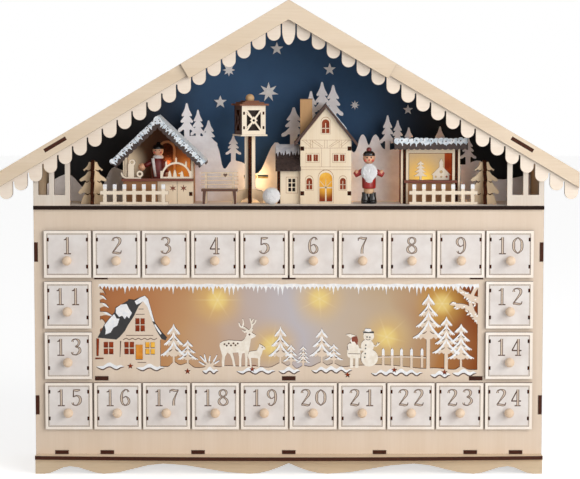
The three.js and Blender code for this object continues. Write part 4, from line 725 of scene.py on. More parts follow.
for index, (x, z) in enumerate(lamp_spots):
    centre = (x * mm, -0.0205, z * mm)
    away = node(tree, "VectorMath", {0: place, 1: centre}, operation="DISTANCE")
    wide = node(tree, "MapRange", {"Value": away.outputs["Value"], "From Min": 0.026, "From Max": 0.002},
                interpolation_type="SMOOTHSTEP")
    tone = node(
        tree, "Mix",
        {"Factor": node(tree, "Math", {0: wide.outputs[0], 1: 0.55}, operation="MULTIPLY").outputs[0],
         "A": tone, "B": colour("f0c25c")}, data_type="RGBA",
    ).outputs[2]
    core = node(tree, "MapRange", {"Value": away.outputs["Value"], "From Min": 0.011, "From Max": 0.003},
                interpolation_type="SMOOTHSTEP")
    tone = node(
        tree, "Mix",
        {"Factor": node(tree, "Math", {0: core.outputs[0], 1: 0.75}, operation="MULTIPLY").outputs[0],
         "A": tone, "B": colour("f8dc86")}, data_type="RGBA",
    ).outputs[2]
    offset = node(tree, "VectorMath", {0: place, 1: centre}, operation="SUBTRACT").outputs[0]
    for lean, length, width in ((0.0, 0.026, 0.0010), (1.15, 0.022, 0.0012), (-1.0, 0.020, 0.0012)):
        turned_ray = node(tree, "VectorRotate", {"Vector": offset, "Angle": lean + 0.25 * index},
                          rotation_type="Y_AXIS")
        thin = node(tree, "VectorMath", {0: turned_ray.outputs[0], 1: (1 / length, 0, 1 / width)},
                    operation="MULTIPLY")
        size = node(tree, "VectorMath", {0: thin.outputs[0]}, operation="LENGTH")
        ray = node(tree, "MapRange", {"Value": size.outputs["Value"], "From Min": 1.0, "From Max": 0.1},
                   interpolation_type="SMOOTHSTEP")
        share = node(tree, "Math", {0: ray.outputs[0], 1: 0.28}, operation="MULTIPLY")
        tone = node(tree, "Mix", {"Factor": share.outputs[0], "A": tone, "B": colour("fbe6b0")},
                    data_type="RGBA").outputs[2]
shader.inputs["Base Color"].default_value = (0.03, 0.025, 0.02, 1)
shader.inputs["Specular IOR Level"].default_value = 0.1
tree.links.new(tone, shader.inputs["Emission Color"])
shader.inputs["Emission Strength"].default_value = 0.86
dress("picture_screen", film)


def glowing_film(name, light, dark, strength=0.9):
    """A coloured film with a lamp somewhere behind it; the lamp's light through it is painted into its
    colour as emission.
    """
    material, tree, shader = new_material(name, 0.4)
    place = node(tree, "TexCoord").outputs["Object"]
    cloud = node(tree, "TexNoise", {"Vector": place, "Scale": 160, "Detail": 2})
    ramp = node(tree, "MapRange", {"Value": cloud.outputs["Fac"], "From Min": 0.35, "From Max": 0.65})
    tone = node(tree, "Mix", {"Factor": ramp.outputs[0], "A": colour(light), "B": colour(dark)},
                data_type="RGBA")
    shader.inputs["Base Color"].default_value = (0.05, 0.03, 0.02, 1)
    shader.inputs["Specular IOR Level"].default_value = 0.1
    tree.links.new(tone.outputs[2], shader.inputs["Emission Color"])
    shader.inputs["Emission Strength"].default_value = strength
    return material


red_film = glowing_film("red_brown_film", "963a14", "7a260c")
yellow_film = glowing_film("yellow_film", "f7c04c", "e8a02c")
amber_film = glowing_film("amber_film", "dc9030", "c87a20")
# films behind the picture's windows and cut stars: their light from the lamps behind is painted in as
# emission
bm = bmesh.new()
for film_slot, windows in enumerate((
    (rect(-148.6, -139.6, 95, 106.6), rect(-132, -123.2, 95, 106.6), rect(-123.2, -114.4, 113.6, 125.6),
     rect(-155, -151, 91, 109.5), *(rect(x - 3, x + 3, z - 3, z + 3) for x, z in
     ((-126.8, 86.3), (-81.0, 82.1), (-29.3, 83.7), (47.1, 79.6), (84.4, 83.1), (124.7, 81.8)))),
    (rect(-115.4, -106.4, 95, 106.4),),
    (rect(-123, -116.2, 91, 104.2),),
)):
    for outline in windows:
        add_sheet(bm, [("add", outline)], 3.02, 3.3, edge=film_slot, face=film_slot)
finish_piece(bm, "window_films", [red_film, yellow_film, amber_film])

# Back board: painted night blue inside, with the roof's shadow painted in as a darker blue
# towards the eaves, bare birch behind; the stars are cut from thin white board and glued on it.
night, tree, shader = new_material("night_blue_board", 0.75)
place = node(tree, "TexCoord").outputs["Object"]
brush = node(tree, "TexNoise", {"Vector": place, "Scale": 60, "Detail": 6, "Roughness": 0.7})
blue = node(
    tree, "Mix", {"Factor": brush.outputs["Fac"], "A": colour("28496f"), "B": colour("335a82")},
    data_type="RGBA"
)
# the roof's shadow, painted into the blue as a darkening towards both ends
apart = node(tree, "Math", {0: node(tree, "SeparateXYZ", {0: place}).outputs["X"]}, operation="ABSOLUTE")
roof_shade_share = node(
    tree, "MapRange", {"Value": apart.outputs[0], "From Min": 0.055, "From Max": 0.125},
    interpolation_type="SMOOTHSTEP"
)
roof_shaded_blue = node(tree, "Mix", {"Factor": roof_shade_share.outputs[0], "A": blue.outputs[2], "B": colour("17191f")},
           data_type="RGBA")
wood_tone, _ = grained(tree, colour("dfc7a8"), colour("cdae88"), "X")
normal = node(tree, "SeparateXYZ", {0: node(tree, "TexCoord").outputs["Normal"]})
painted = node(tree, "Math", {0: normal.outputs["Y"], 1: -0.5}, operation="LESS_THAN")
tone = node(tree, "Mix", {"Factor": painted.outputs[0], "A": wood_tone, "B": roof_shaded_blue.outputs[2]},
            data_type="RGBA")
tree.links.new(tone.outputs[2], shader.inputs["Base Color"])
dress("back_panel", night)

white_board = plain_paint("white_board", "f4f4f6", "eaeaec", 0.8, 300, 0.1)
bm = bmesh.new()
for x, z, radius, points, waist in (
    (-9.9, 340, 5.6, 5, 0.42), (-49.7, 322.4, 5.2, 8, 0.5), (-56.9, 295.9, 5.6, 5, 0.42),
    (-16.8, 304.2, 8.4, 7, 0.42), (33.9, 322.9, 5.4, 5, 0.42), (54.9, 293.4, 3.9, 8, 0.45),
    (99, 289.5, 4.4, 5, 0.42),
):
    add_sheet(bm, [("add", star(x, z, radius, points, waist))], 79.6, 81)
finish_piece(bm, "sky_stars", [white_board, white_board])

# Stage floor: a whitewashed board on top of the drawer case; its front edge stands out a
# little and is burnt dark by the laser.
stage_wash, tree, shader = new_material("stage_wash", 0.75, 0.15)
tone, lines = grained(tree, colour("f6f0ea"), colour("e8dccf"), "X", 0.7)
normal = node(tree, "SeparateXYZ", {0: node(tree, "TexCoord").outputs["Normal"]})
upright = node(tree, "Math", {0: normal.outputs["Z"], 1: 0.5}, operation="LESS_THAN")
under = node(tree, "Mix", {"Factor": upright.outputs[0], "A": tone, "B": colour("1e0f08")},
             data_type="RGBA")
tree.links.new(under.outputs[2], shader.inputs["Base Color"])
dress("stage_floor", stage_wash)


# Drawers: a square plywood front with a whitewashed field inside an engraved line, four
# tab ends, an engraved number and a turned knob, and a tray of thin boards behind it.
def turned(bm, profile, place, slot=0, steps=24):
    """Spins a profile of (radius, height) round the Z axis of place."""
    points = [bm.verts.new((radius, 0, height)) for radius, height in profile]
    edges = [bm.edges.new(pair) for pair in zip(points, points[1:])]
    made = bmesh.ops.spin(
        bm, geom=points + edges, cent=(0, 0, 0), axis=(0, 0, 1), angle=2 * math.pi, steps=steps,
        use_merge=True
    )
    verts = {v for e in edges if e.is_valid for v in e.verts}
    grown = set(verts)
    while verts:
        verts = {e.other_vert(v) for v in verts for e in v.link_edges} - grown
        grown |= verts
    bmesh.ops.remove_doubles(bm, verts=list(grown), dist=1e-4)
    grown = [v for v in grown if v.is_valid]
    shell = {f for v in grown for f in v.link_faces}
    bmesh.ops.recalc_face_normals(bm, faces=list(shell))
    for f in shell:
        f.smooth = True
        f.material_index = slot
    bmesh.ops.transform(bm, matrix=place, verts=grown)
    return shell


def stand_at(x, depth, z, tilt=0.0):
    """A place for a turned piece: millimetres to metres, leaning sideways by tilt."""
    return Matrix.Translation(facing(x, z, depth)) @ Matrix.Rotation(tilt, 4, "Y") @ Matrix.Scale(mm, 4)


towards_us = Matrix.Rotation(math.radians(90), 4, "X")

ring_widths = [0.7, 1.6, 2.1, 1.6, 0.7]
figures = {
    "0": [([(4.15, 13.4), (1.7, 10.6), (1.3, 7), (1.7, 3.4), (4.15, 0.6)], ring_widths),
          ([(4.1, 13.4), (6.6, 10.6), (7.0, 7), (6.6, 3.4), (4.1, 0.6)], ring_widths)],
    "1": [([(4.2, 0.5), (4.2, 13.6)], [1.9, 1.9]),
          ([(4.4, 13.4), (2.9, 11.9), (1.7, 11.5)], [0.9, 0.9, 0.5]),
          ([(1.8, 0.4), (6.6, 0.4)], [0.8, 0.8])],
    "2": [([(1.7, 10.6), (2.0, 12.6), (4.2, 13.5)], [2.0, 1.0, 0.8]),
          ([(4.1, 13.5), (6.3, 12.2), (6.3, 9.4), (4.2, 5.8), (1.3, 1.2)], [0.8, 1.9, 1.9, 1.2, 0.8]),
          ([(1.2, 1.0), (3, 1.3), (5.4, 0.8), (7.2, 1.2)], [1.0, 1.5, 1.6, 0.8]),
          ([(7.0, 0.8), (7.4, 3.0)], [0.6, 0.6])],
    "3": [([(1.7, 11.2), (2.2, 12.9), (4.2, 13.5)], [1.8, 1.0, 0.8]),
          ([(4.1, 13.5), (6.2, 11.9), (5.8, 8.8), (3.6, 7.4)], [0.8, 1.9, 1.5, 0.8]),
          ([(3.6, 7.4), (6.3, 6.3), (6.8, 3.4), (4.3, 0.6)], [0.8, 1.5, 2.0, 0.8]),
          ([(4.4, 0.6), (1.9, 1.2), (1.5, 2.9)], [0.8, 0.9, 1.9])],
    "4": [([(5.2, 0.5), (5.2, 13.5)], [1.9, 1.9]), ([(5.0, 13.3), (0.9, 4.4)], [0.8, 0.8]),
          ([(0.7, 4.2), (7.4, 4.2)], [0.9, 0.9]), ([(3.0, 0.4), (7.2, 0.4)], [0.8, 0.8])],
    "5": [([(2.2, 13.3), (2.0, 7.4)], [0.8, 0.8]),
          ([(2.0, 13.0), (4.4, 12.7), (6.8, 13.1)], [1.0, 1.8, 0.8]),
          ([(2.0, 7.5), (4.4, 8.5), (6.6, 6.9), (6.6, 3.2), (4.3, 0.6)], [0.7, 1.0, 1.9, 2.0, 0.8]),
          ([(4.4, 0.6), (2.0, 1.2), (1.5, 2.9)], [0.8, 0.9, 1.9])],
    "6": [([(6.3, 11.4), (5.8, 13), (4.1, 13.5)], [1.6, 0.9, 0.8]),
          ([(4.2, 13.5), (2.1, 11), (1.5, 6.6), (2.1, 2.4), (4.15, 0.5)], [0.8, 1.4, 2.0, 1.6, 0.8]),
          ([(4.1, 0.5), (6.4, 2.4), (6.5, 5.4), (4.5, 7.8), (2.4, 6.4)], [0.8, 1.7, 1.7, 0.8, 0.6])],
    "7": [([(1.2, 12.4), (3.0, 13.1), (5.0, 12.5), (7.2, 13.2)], [0.8, 1.5, 1.7, 0.8]),
          ([(7.0, 13.1), (4.9, 8), (3.9, 4.4), (3.8, 0.5)], [0.7, 1.1, 1.8, 2.0]),
          ([(1.2, 13.2), (1.2, 10.8)], [0.6, 0.6])],
    "8": [([(4.2, 7.4), (2.0, 9.2), (2.1, 12), (4.2, 13.5)], [1.0, 1.5, 1.5, 0.8]),
          ([(4.1, 13.5), (6.3, 12), (6.2, 9.3), (4.1, 7.4)], [0.8, 1.5, 1.3, 1.0]),
          ([(4.2, 7.5), (1.6, 5.4), (1.6, 2.4), (4.2, 0.5)], [1.0, 1.5, 1.9, 0.8]),
          ([(4.1, 0.5), (6.8, 2.2), (6.7, 5.2), (4.1, 7.5)], [0.8, 1.7, 1.6, 1.0])],
}
figures["9"] = [([(8.2 - x, 14 - z) for x, z in line], widths) for line, widths in figures["6"]]

WASH, LINE, SHADE, FILL = 2, 3, 4, 5
drawer_birch = birch_board("drawer_birch", "fcf3e9", "f4e6d6", scorch=0.35, reach=0.0003)
whitewash = plain_paint("whitewash", "e9e3df", "ded6d1", 0.72, 90, 0.06)
faint_line = plain_paint("faint_line", "a58f7d", "94806e", 0.8, 900)
hatch = plain_paint("hatched_fill", "d6c6b6", "c6b29e", 0.8, 1800)
knob_wood = birch_board("knob_wood", "efd8bf", "e0c2a2", along="Y", scorch=0)
tray_wood = birch_board("tray_wood", "e8d6bd", "d9c3a3", along="Y", scorch=0.5)


def drawer(number, x, z):
    """One drawer with its number, in the middle of its opening at x and z."""
    bm = bmesh.new()
    half = 18.8
    paints = [(LINE, rect(-16.5, 16.5, -16.5, 16.5)), (0, rect(-16.1, 16.1, -16.1, 16.1))]
    paints += [(SHADE, rect(-15.8, 15.8, -15.8, 15.8)), (WASH, rect(-15.55, 15.55, -15.55, 15.55))]
    letters = str(number)
    for kind, thinner in ((LINE, 0.0), (FILL, 1.0)):
        for index, letter in enumerate(letters):
            middle = (index - (len(letters) - 1) / 2) * 12.2
            for line, widths in figures[letter]:
                wide = [1.15 * w - thinner for w in widths]
                if max(wide) < 0.3:
                    continue
                spot = [(middle + 1.16 * (px - 4.15), pz) for px, pz in line]
                paints.append((kind, stroke(spot, wide, 4)))
    for tab_x in (-15.6, 15.6):
        for tab_z in (11.7, -9.9):
            paints.append((1, rect(tab_x - 0.9, tab_x + 0.9, tab_z - 1.5, tab_z + 1.5)))
    moved = [(slot, [(px + x, pz + z) for px, pz in outline]) for slot, outline in paints]
    add_sheet(bm, [("add", rect(x - half, x + half, z - half, z + half))], -3, 0, paints=moved)
    add_sheet(bm, [("add", rect(x - 17, x + 17, 0, 71))], z - 16.8, z - 14.3, lay=lying, face=6, edge=1)
    for side in (-17, 14.5):
        add_sheet(bm, [("add", rect(0, 71, z - 14.3, z + 16.8))], x + side, x + side + 2.5, lay=sideways,
                  face=6, edge=1)
    add_sheet(bm, [("add", rect(x - 14.5, x + 14.5, z - 14.3, z + 16.8))], 68.5, 71, face=6, edge=1)
    profile = [(0, -0.5), (1.9, -0.5), (1.7, 1.6), (2.6, 2.4), (3.6, 3.9), (3.8, 5.2), (3.4, 6.8),
               (2.0, 8.0), (0, 8.5)]
    profile = flowing(profile[1:-1], 2)
    turned(bm, [(0, -0.5), *profile, (0, 8.5)], stand_at(x, -3, z - 4.8) @ towards_us, slot=7)
    name = "drawer_%02d" % number
    finish_piece(bm, name + "_piece", [drawer_birch, burnt, whitewash, engraved, faint_line, hatch,
                                       tray_wood, knob_wood],
                 body=name, stands_for=[name], smooth=None)


for number, (x, z) in enumerate(places, 1):
    drawer(number, x, z)

# Battery box on the back: black moulded plastic with a cover that comes away and a slide
# switch; two round cells lie in it.
black_plastic = plain_paint("black_plastic", "232324", "1b1b1c", 0.45, 1500, 0.25)
for name in ("battery_box", "battery_cover", "switch_slider"):
    dress(name, black_plastic)
sleeve, tree, shader = new_material("cell_sleeve", 0.3)
place = node(tree, "TexCoord").outputs["Object"]
along = node(tree, "SeparateXYZ", {0: place}).outputs["X"]
band = node(tree, "Math", {0: along, 1: 0.004}, operation="LESS_THAN")
tone = node(tree, "Mix", {"Factor": band.outputs[0], "A": colour("b9852f"), "B": colour("2c2e31")},
            data_type="RGBA")
scuff = node(tree, "TexNoise", {"Vector": place, "Scale": 800, "Detail": 3})
tree.links.new(tone.outputs[2], shader.inputs["Base Color"])
rough = node(tree, "MapRange", {"Value": scuff.outputs["Fac"], "To Min": 0.22, "To Max": 0.4})
tree.links.new(rough.outputs[0], shader.inputs["Roughness"])
shader.inputs["Metallic"].default_value = 0.6
for name in ("battery_1", "battery_2"):
    dress(name, sleeve)

# Roof: two boards on the walls; the scalloped trim hangs in front of them and the fascia
# lies on it, with a raised chevron at the tip. The boards' tabs show in the fascia's slots.
slope = math.radians(30.5)
tip, roof_half = 377.5, 230.0
trim_birch = birch_board("trim_birch", "f9ebdb", "eddac5", along="X", scorch=0.5)
fascia_birch = birch_board("fascia_birch", "e8d5bd", "dac3a5", along="X", scorch=0.5)
for name in ("roof_left", "roof_right"):
    dress(name, cut_board(name + "_birch", "Z", "X"))
for name in ("left_gable_window", "right_gable_window"):
    dress(name, cut_board(name + "_birch", "Y", "Z", "e6dcd0", "d8c9b8"))


def edge_height(x):
    return tip - abs(x) * math.tan(slope)


def slope_point(side, along, drop):
    return (
        side * (along * math.cos(slope) - drop * math.sin(slope)),
        tip - along * math.sin(slope) - drop * math.cos(slope),
    )


tab_slots = [
    [slope_point(side, along, drop) for along,
     drop in ((206.7, 2.8), (226.7, 2.8), (226.7, 5.8), (206.7, 5.8))]
    for side in (-1, 1)
]
scallops, centre_half, gap = 19, 5.2, 1.2
pitch = (roof_half - centre_half - gap / 2) / scallops
root = 10.7 / math.cos(slope) + 2.4
right = [(0, tip), (0, tip - 35.3)]
rise = 35.3 - (tip - edge_height(centre_half) + root) - pitch / 2
for i in range(1, 11):
    turn = i / 10 * math.pi / 2
    right.append((centre_half * math.sin(turn), tip - 35.3 + rise * (1 - math.cos(turn))))
radius = (pitch - gap) / 2
for i in reversed(range(scallops)):
    x = roof_half - (i + 0.5) * pitch
    low = edge_height(x) - 25.2 + radius
    top = edge_height(x - pitch / 2) - root
    right += [(x - radius - gap, top), (x - radius - gap / 2, top + 0.5), (x - radius, top)]
    for j in range(15):
        turn = math.pi * (1 + j / 14)
        right.append((x + radius * math.cos(turn), low + radius * math.sin(turn)))
right += [(roof_half - gap / 2, edge_height(roof_half) - root), (roof_half, edge_height(roof_half) - root)]
right.append((roof_half, edge_height(roof_half)))
bm = bmesh.new()
whole = [(0, tip), *right[:0:-1], *[(-x, z) for x, z in right[2:]]]
steps = [("add", whole)] + [("cut", outline) for outline in tab_slots]
add_sheet(bm, steps, -3, 0)
finish_piece(bm, "scalloped_trim_piece", [trim_birch, burnt], stands_for=["scalloped_trim"])

bm = bmesh.new()
steep = math.cos(slope)
steps = []
for side in (-1, 1):
    end, low = side * roof_half, edge_height(roof_half)
    steps.append(("add", [(0, tip), (end, low), (end, low - 10.7 / steep), (0, tip - 10.7 / steep)]))
steps += [("cut", outline) for outline in tab_slots]
add_sheet(bm, steps, -6, -3)
chevron = [(0, tip)]
ends = 91 + 13.4 * math.tan(slope)
chevron += [slope_point(1, ends, 0), slope_point(1, ends, 13.4), (0, tip - 13.4 / steep)]
chevron += [slope_point(-1, ends, 13.4), slope_point(-1, ends, 0)]
add_sheet(bm, [("add", chevron)], -9, -5.98)
finish_piece(bm, "roof_fascia_piece", [fascia_birch, burnt], stands_for=["roof_fascia"])

# Hills: one thin board behind the village, painted snow white, with firs along its
# skyline and a slot at each lamp; it stands on the stage floor between the side walls.
stage_z = 215.0
hill_white = plain_paint("hill_white", "f3f2f6", "e8e6ea", 0.85, 180, 0.05)
skyline = [(-199.7, 14), (-182, 22), (-168, 9), (-157, 7), (-146, 27), (-134, 25), (-112, 34), (-90, 52),
           (-62, 50)]
skyline += [(-54, 27), (-47, 33), (-37, 31), (-25, 23), (-11.6, 48), (2, 40), (24, 60), (46, 48), (54, 40),
            (58.6, 52)]
skyline += [(61, 54.6), (63.2, 52.4), (66, 46), (69, 52.4), (71.5, 54.6), (74, 52), (80, 42), (104, 46),
            (126, 43), (142, 30), (158, 33), (172, 18), (199.7, 22)]
ridge = flowing([(x * 199.2 / 199.7, stage_z + h) for x, h in skyline], 5)
steps = [("add", [(-199.2, stage_z), *ridge, (199.2, stage_z)])]


bough_line = [(0.34, -0.6), (0.30, 0.02), (0.62, -0.03), (0.92, -0.06), (1.0, 0.0), (0.95, 0.06),
              (0.68, 0.13)]
bough_line += [(0.42, 0.24), (0.34, 0.30), (0.55, 0.28), (0.69, 0.31), (0.66, 0.36), (0.50, 0.43),
               (0.34, 0.50)]
bough_line += [(0.30, 0.54), (0.44, 0.515), (0.57, 0.54), (0.55, 0.58), (0.42, 0.66), (0.27, 0.76),
               (0.17, 0.87)]
bough_line += [(0.12, 0.95), (0.06, 0.995)]


def hill_fir(x, high, half, tall):
    """A fir with three pairs of rounded boughs that droop."""
    right = flowing([(half * a, stage_z + high - tall + tall * b) for a, b in bough_line], 2)
    return [(x + dx, z) for dx, z in right] + [(x - dx, z) for dx, z in right[::-1]]


for fir_size in (
    (-83.8, 80.4, 7.4, 22.5), (-74.6, 75, 6.2, 20), (-65.9, 66.3, 7.2, 19.6), (-45.6, 53.9, 6.4, 15),
    (4.1, 77.1, 10.2, 23),
    (18.2, 90.3, 8, 24), (27.3, 97.8, 8, 24), (36.4, 95.3, 8.4, 24), (81.2, 70.5, 6.6, 22),
    (89.5, 66.3, 6, 18),
    (98.6, 60.5, 6, 17), (124.3, 61.3, 7, 20), (147.5, 52.6, 6.8, 17),
):
    steps.append(("add", hill_fir(*fir_size)))
lamps = [(112, 25), (31, 17), (-27, 20), (-99, 32)]
for x, h in lamps:
    steps.append(("cut", rect(x - 10, x + 10, stage_z + h - 1.4, stage_z + h + 1.4)))
bm = bmesh.new()
add_sheet(bm, steps, 60, 63)
finish_piece(bm, "snowy_hills", [hill_white, burnt], stands_for=["snow_hills"])

# Firs by the walls: each of two birch sheets slotted across each other, so one ply edge
# shows up the middle; the boughs are split by narrow burnt slits.
village_birch = birch_board("village_birch", "ead7bd", "dcc5a5", scorch=0.7, reach=0.00045)
pale_birch = birch_board("pale_birch", "f1e3cf", "e6d3b9", scorch=0.8, reach=0.00045)
tree_birch = birch_board("tree_birch", "e8d2b2", "d5bb96", scorch=0.8, reach=0.00045)
bough = [(0, 35), (3.2, 33.8), (4.6, 30.6), (6.4, 28.6), (8.0, 27.6), (7.2, 26.4), (4.0, 27.2), (3.9, 26.4),
         (6.0, 23.4)]
bough += [(9.4, 21.0), (11.2, 19.3), (9.9, 17.9), (6.2, 19.0), (6.0, 18.0), (8.0, 14.6), (10.8, 11.4),
          (12.2, 9.2)]
bough += [(11.0, 7.6), (7.0, 9.2), (6.9, 8.0), (8.8, 4.6), (10.2, 0)]
for name, x in (("left_tree", -157.5), ("right_tree", 157.5)):
    bm = bmesh.new()
    half = [(dx, stage_z + h) for dx, h in bough]
    front = [(1.6, stage_z + 33.6), *half[1:]]
    outline = front + [(-dx, z) for dx, z in front[::-1]]
    slits = []
    for side in (-1, 1):
        for dx, h in ((8.4, 26.0), (9.6, 17.0), (9.0, 7.0)):
            curl = [(x + side * (dx - 6.4), stage_z + h + 1.6), (x + side * (dx - 4.6), stage_z + h + 0.4),
                    (x + side * (dx - 2.6), stage_z + h + 1.3), (x + side * (dx - 1.6), stage_z + h + 0.2)]
            slits.append((1, stroke(curl, [0.3, 1.0, 0.8, 0.3], 3)))
    add_sheet(bm, [("add", [(x + dx, z) for dx, z in outline])], 22.5, 25.5, paints=slits)
    for side in (1, -1):
        wing = [(24 + side * (1.5 + max(0.0, dx - 1.5)), z) for dx, z in half if dx > 1.5]
        wing = [(24 + side * 1.49, stage_z + 35.2), *wing, (24 + side * 1.49, stage_z)]
        add_sheet(bm, [("add", wing)], x - 1.5, x + 1.5, lay=sideways)
    finish_piece(bm, name + "_piece", [tree_birch, burnt], stands_for=[name])

# Picket fences: one birch sheet each, the pickets' tips dipped in white paint; they are
# glued on the stage floor in front of the stalls.
for name, first in (("left_fence", -147.2), ("right_fence", 100.5)):
    steps, paints = [], []
    for i in range(7):
        x = first + 7.8 * i
        steps.append(("add", rect(x - 1.5, x + 1.5, stage_z, stage_z + 16.3)))
        paints.append((SNOW, rect(x - 1.6, x + 1.6, stage_z + 12.6, stage_z + 17)))
    for level in (0, 8):
        steps.append(("add", rect(first - 4, first + 50.8, stage_z + level,
                                  stage_z + level + (3 if level else 2.2))))
    bm = bmesh.new()
    add_sheet(bm, steps, 13, 15, paints=paints)
    finish_piece(bm, name + "_piece", [pale_birch, burnt, snow_paint], stands_for=[name])

# Left stall: walls, apron and counter of thin plywood under a stained roof whose front
# band has icicles of snow; a candle arch and a sledge stand on the counter.
ROOF, ICE, WARM_AND_SHADE, DARK = 2, 3, 4, 5
roof_stain = plain_paint("roof_stain", "44342f", "312420", 0.7, 300, 0.15)
ice = plain_paint("ice_blue", "f0f3f6", "bccbd6", 0.7, 420, 0.1)
# a warm tan birch for walls, also laid on as painted shade on the aprons behind the fences
warm_wall_and_shade = birch_board("warm_wall_and_shade", "b8885c", "a06c3e", along="Z", scorch=0.5)
counter_wood = birch_board("counter_wood", "763a24", "5a2a1a", along="X", scorch=0.3)
village = [village_birch, burnt, roof_stain, ice, warm_wall_and_shade, counter_wood]


def slanted(x0, z0, x1, z1, depth):
    """A bar under the line between two points."""
    return [(x0, z0), (x1, z1), (x1, z1 - depth), (x0, z0 - depth)]


def snowy_band(x0, z0, x1, z1, depth, seed, puff=1.1):
    """Steps and paints of a band with a scalloped lower edge and puffs of snow with drips."""
    run = math.hypot(x1 - x0, z1 - z0)
    ux, uz = (x1 - x0) / run, (z1 - z0) / run
    down = (uz, -ux) if ux > 0 else (-uz, ux)
    put = lambda a, d: (x0 + ux * a + down[0] * d, z0 + uz * a + down[1] * d)
    count = round(run / 4.4)
    low = []
    for i in range(6 * count + 1):
        low.append(put(run * i / (6 * count), depth - 0.9 + 0.9 * abs(math.cos(math.pi * i / 6)) ** 0.6))
    steps = [("add", [put(0, 0.6), put(run, 0.6), *low[::-1]])]
    paints, marks = [], []
    chance = random.Random(seed)
    count = round(run / 2.7 / puff)
    for i in range(count):
        at = run * (i + 0.5) / count
        radius = puff * chance.uniform(1.3, 2.0)
        heart = put(at, depth * 0.24 + chance.uniform(-0.4, 0.5))
        drip = put(at + chance.uniform(-1, 1), depth * 0.24 + radius + puff * chance.uniform(0.3, 1.6))
        steps.append(("add", disc(*heart, radius, 10)))
        paints += [(ICE, disc(*heart, radius + 0.1, 10)), (ICE, stroke([heart, drip], [2.2, 0.5], 1))]
        if i % 3 == 1:
            marks.append((1, disc(*heart, 0.6, 8)))
        else:
            curl = put(at + 1.2, depth * 0.24 + chance.uniform(0.2, 1.6))
            marks.append((1, stroke([put(at + 1.7, depth * 0.08), curl], [0.15, 0.5], 1)))
    return steps, paints + marks


def ball(bm, x, depth, z, radius, slot, squash=(1, 1, 1), steps=16):
    place = Matrix.Translation(facing(x, z, depth)) @ Matrix.Diagonal((*squash, 1))
    made = bmesh.ops.create_uvsphere(bm, u_segments=steps, v_segments=max(6, steps // 2),
                                     radius=radius * mm, matrix=place)
    faces = {f for v in made["verts"] for f in v.link_faces}
    for f in faces:
        f.smooth = True
        f.material_index = slot
    return made["verts"]


def lit_wall(name, dark, spots):
    """A thin wall with lamps behind it, its light and shade painted into its colour as emission: dark, and
    brighter round each (centre, reach, colour).
    """
    material, tree, shader = new_material(name, 0.7)
    place = node(tree, "TexCoord").outputs["Object"]
    fibres = node(tree, "TexNoise", {"Vector": place, "Scale": 500, "Detail": 4})
    tone = node(tree, "Mix", {"Factor": fibres.outputs["Fac"], "A": colour(dark), "B": colour(dark)},
                data_type="RGBA")
    tone.inputs["B"].default_value = tuple(0.8 * c for c in colour(dark)[:3]) + (1,)
    tone = tone.outputs[2]
    for spot, reach, hexa in spots:
        away = node(tree, "VectorMath", {0: place, 1: Vector(spot) * mm}, operation="DISTANCE")
        near = node(
            tree, "MapRange", {"Value": away.outputs["Value"], "From Min": reach * mm, "From Max": 0.002},
            interpolation_type="SMOOTHSTEP",
        )
        tone = node(tree, "Mix", {"Factor": near.outputs[0], "A": tone, "B": colour(hexa)},
                    data_type="RGBA").outputs[2]
    shader.inputs["Base Color"].default_value = (0.06, 0.04, 0.02, 1)
    shader.inputs["Specular IOR Level"].default_value = 0.1
    tree.links.new(tone, shader.inputs["Emission Color"])
    shader.inputs["Emission Strength"].default_value = 0.85
    return material


bm = bmesh.new()
x, half = -105.0, 28.3
level = stage_z + 20
# the stall's back wall: the dark shade inside and the light round the lamps are painted in as emission
lit_back = lit_wall("left_stall_lit_wall", "26100a",
                    [((-80, 15, 236), 32, "9c4414"), ((-89, 15, 229), 20, "d07a1c"),
                                                     ((-134, 15, 247), 20, "cdb79a")])
wall_top = stage_z + 71 - 2.8 - half * 36.5 / 38.5 + 1
gable = [(x - half, stage_z), (x + half, stage_z), (x + half, wall_top), (x, stage_z + 69.2),
         (x - half, wall_top)]
add_sheet(bm, [("add", gable), ("cut", arch(x + 1, x + 10, level + 10, level + 23))], 49.5, 52, face=6)
rim = arch(x - 1.6, x + 12.6, level, level + 23)
add_sheet(bm, [("add", rim), ("cut", arch(x + 0.4, x + 10.6, level - 1, level + 23))], 48.3, 49.4,
          face=WARM_AND_SHADE, edge=DARK)
# a dark sheet behind the window of the back wall: painted shade behind the window
add_sheet(bm, [("add", arch(x, x + 11, level + 9, level + 23.5))], 52.1, 52.5, face=1)
for edge, inner in ((x - half, 0), (x + half - 2.5, WARM_AND_SHADE)):
    add_sheet(bm, [("add", rect(24.4, 49.6, stage_z, wall_top))], edge, edge + 2.5, lay=sideways,
              face=inner)
opening = [(x - half + 3.4, level), (x + half - 2, level), (x + half - 2, wall_top - 3),
           (x + 1, stage_z + 63.4),
           (x - half + 3.4, wall_top - 2.4)]
slot_line = [(x - 1.5, stage_z + 62.2), (x - half + 1.4, wall_top - 3.2), (x - half + 1.4, level + 1)]
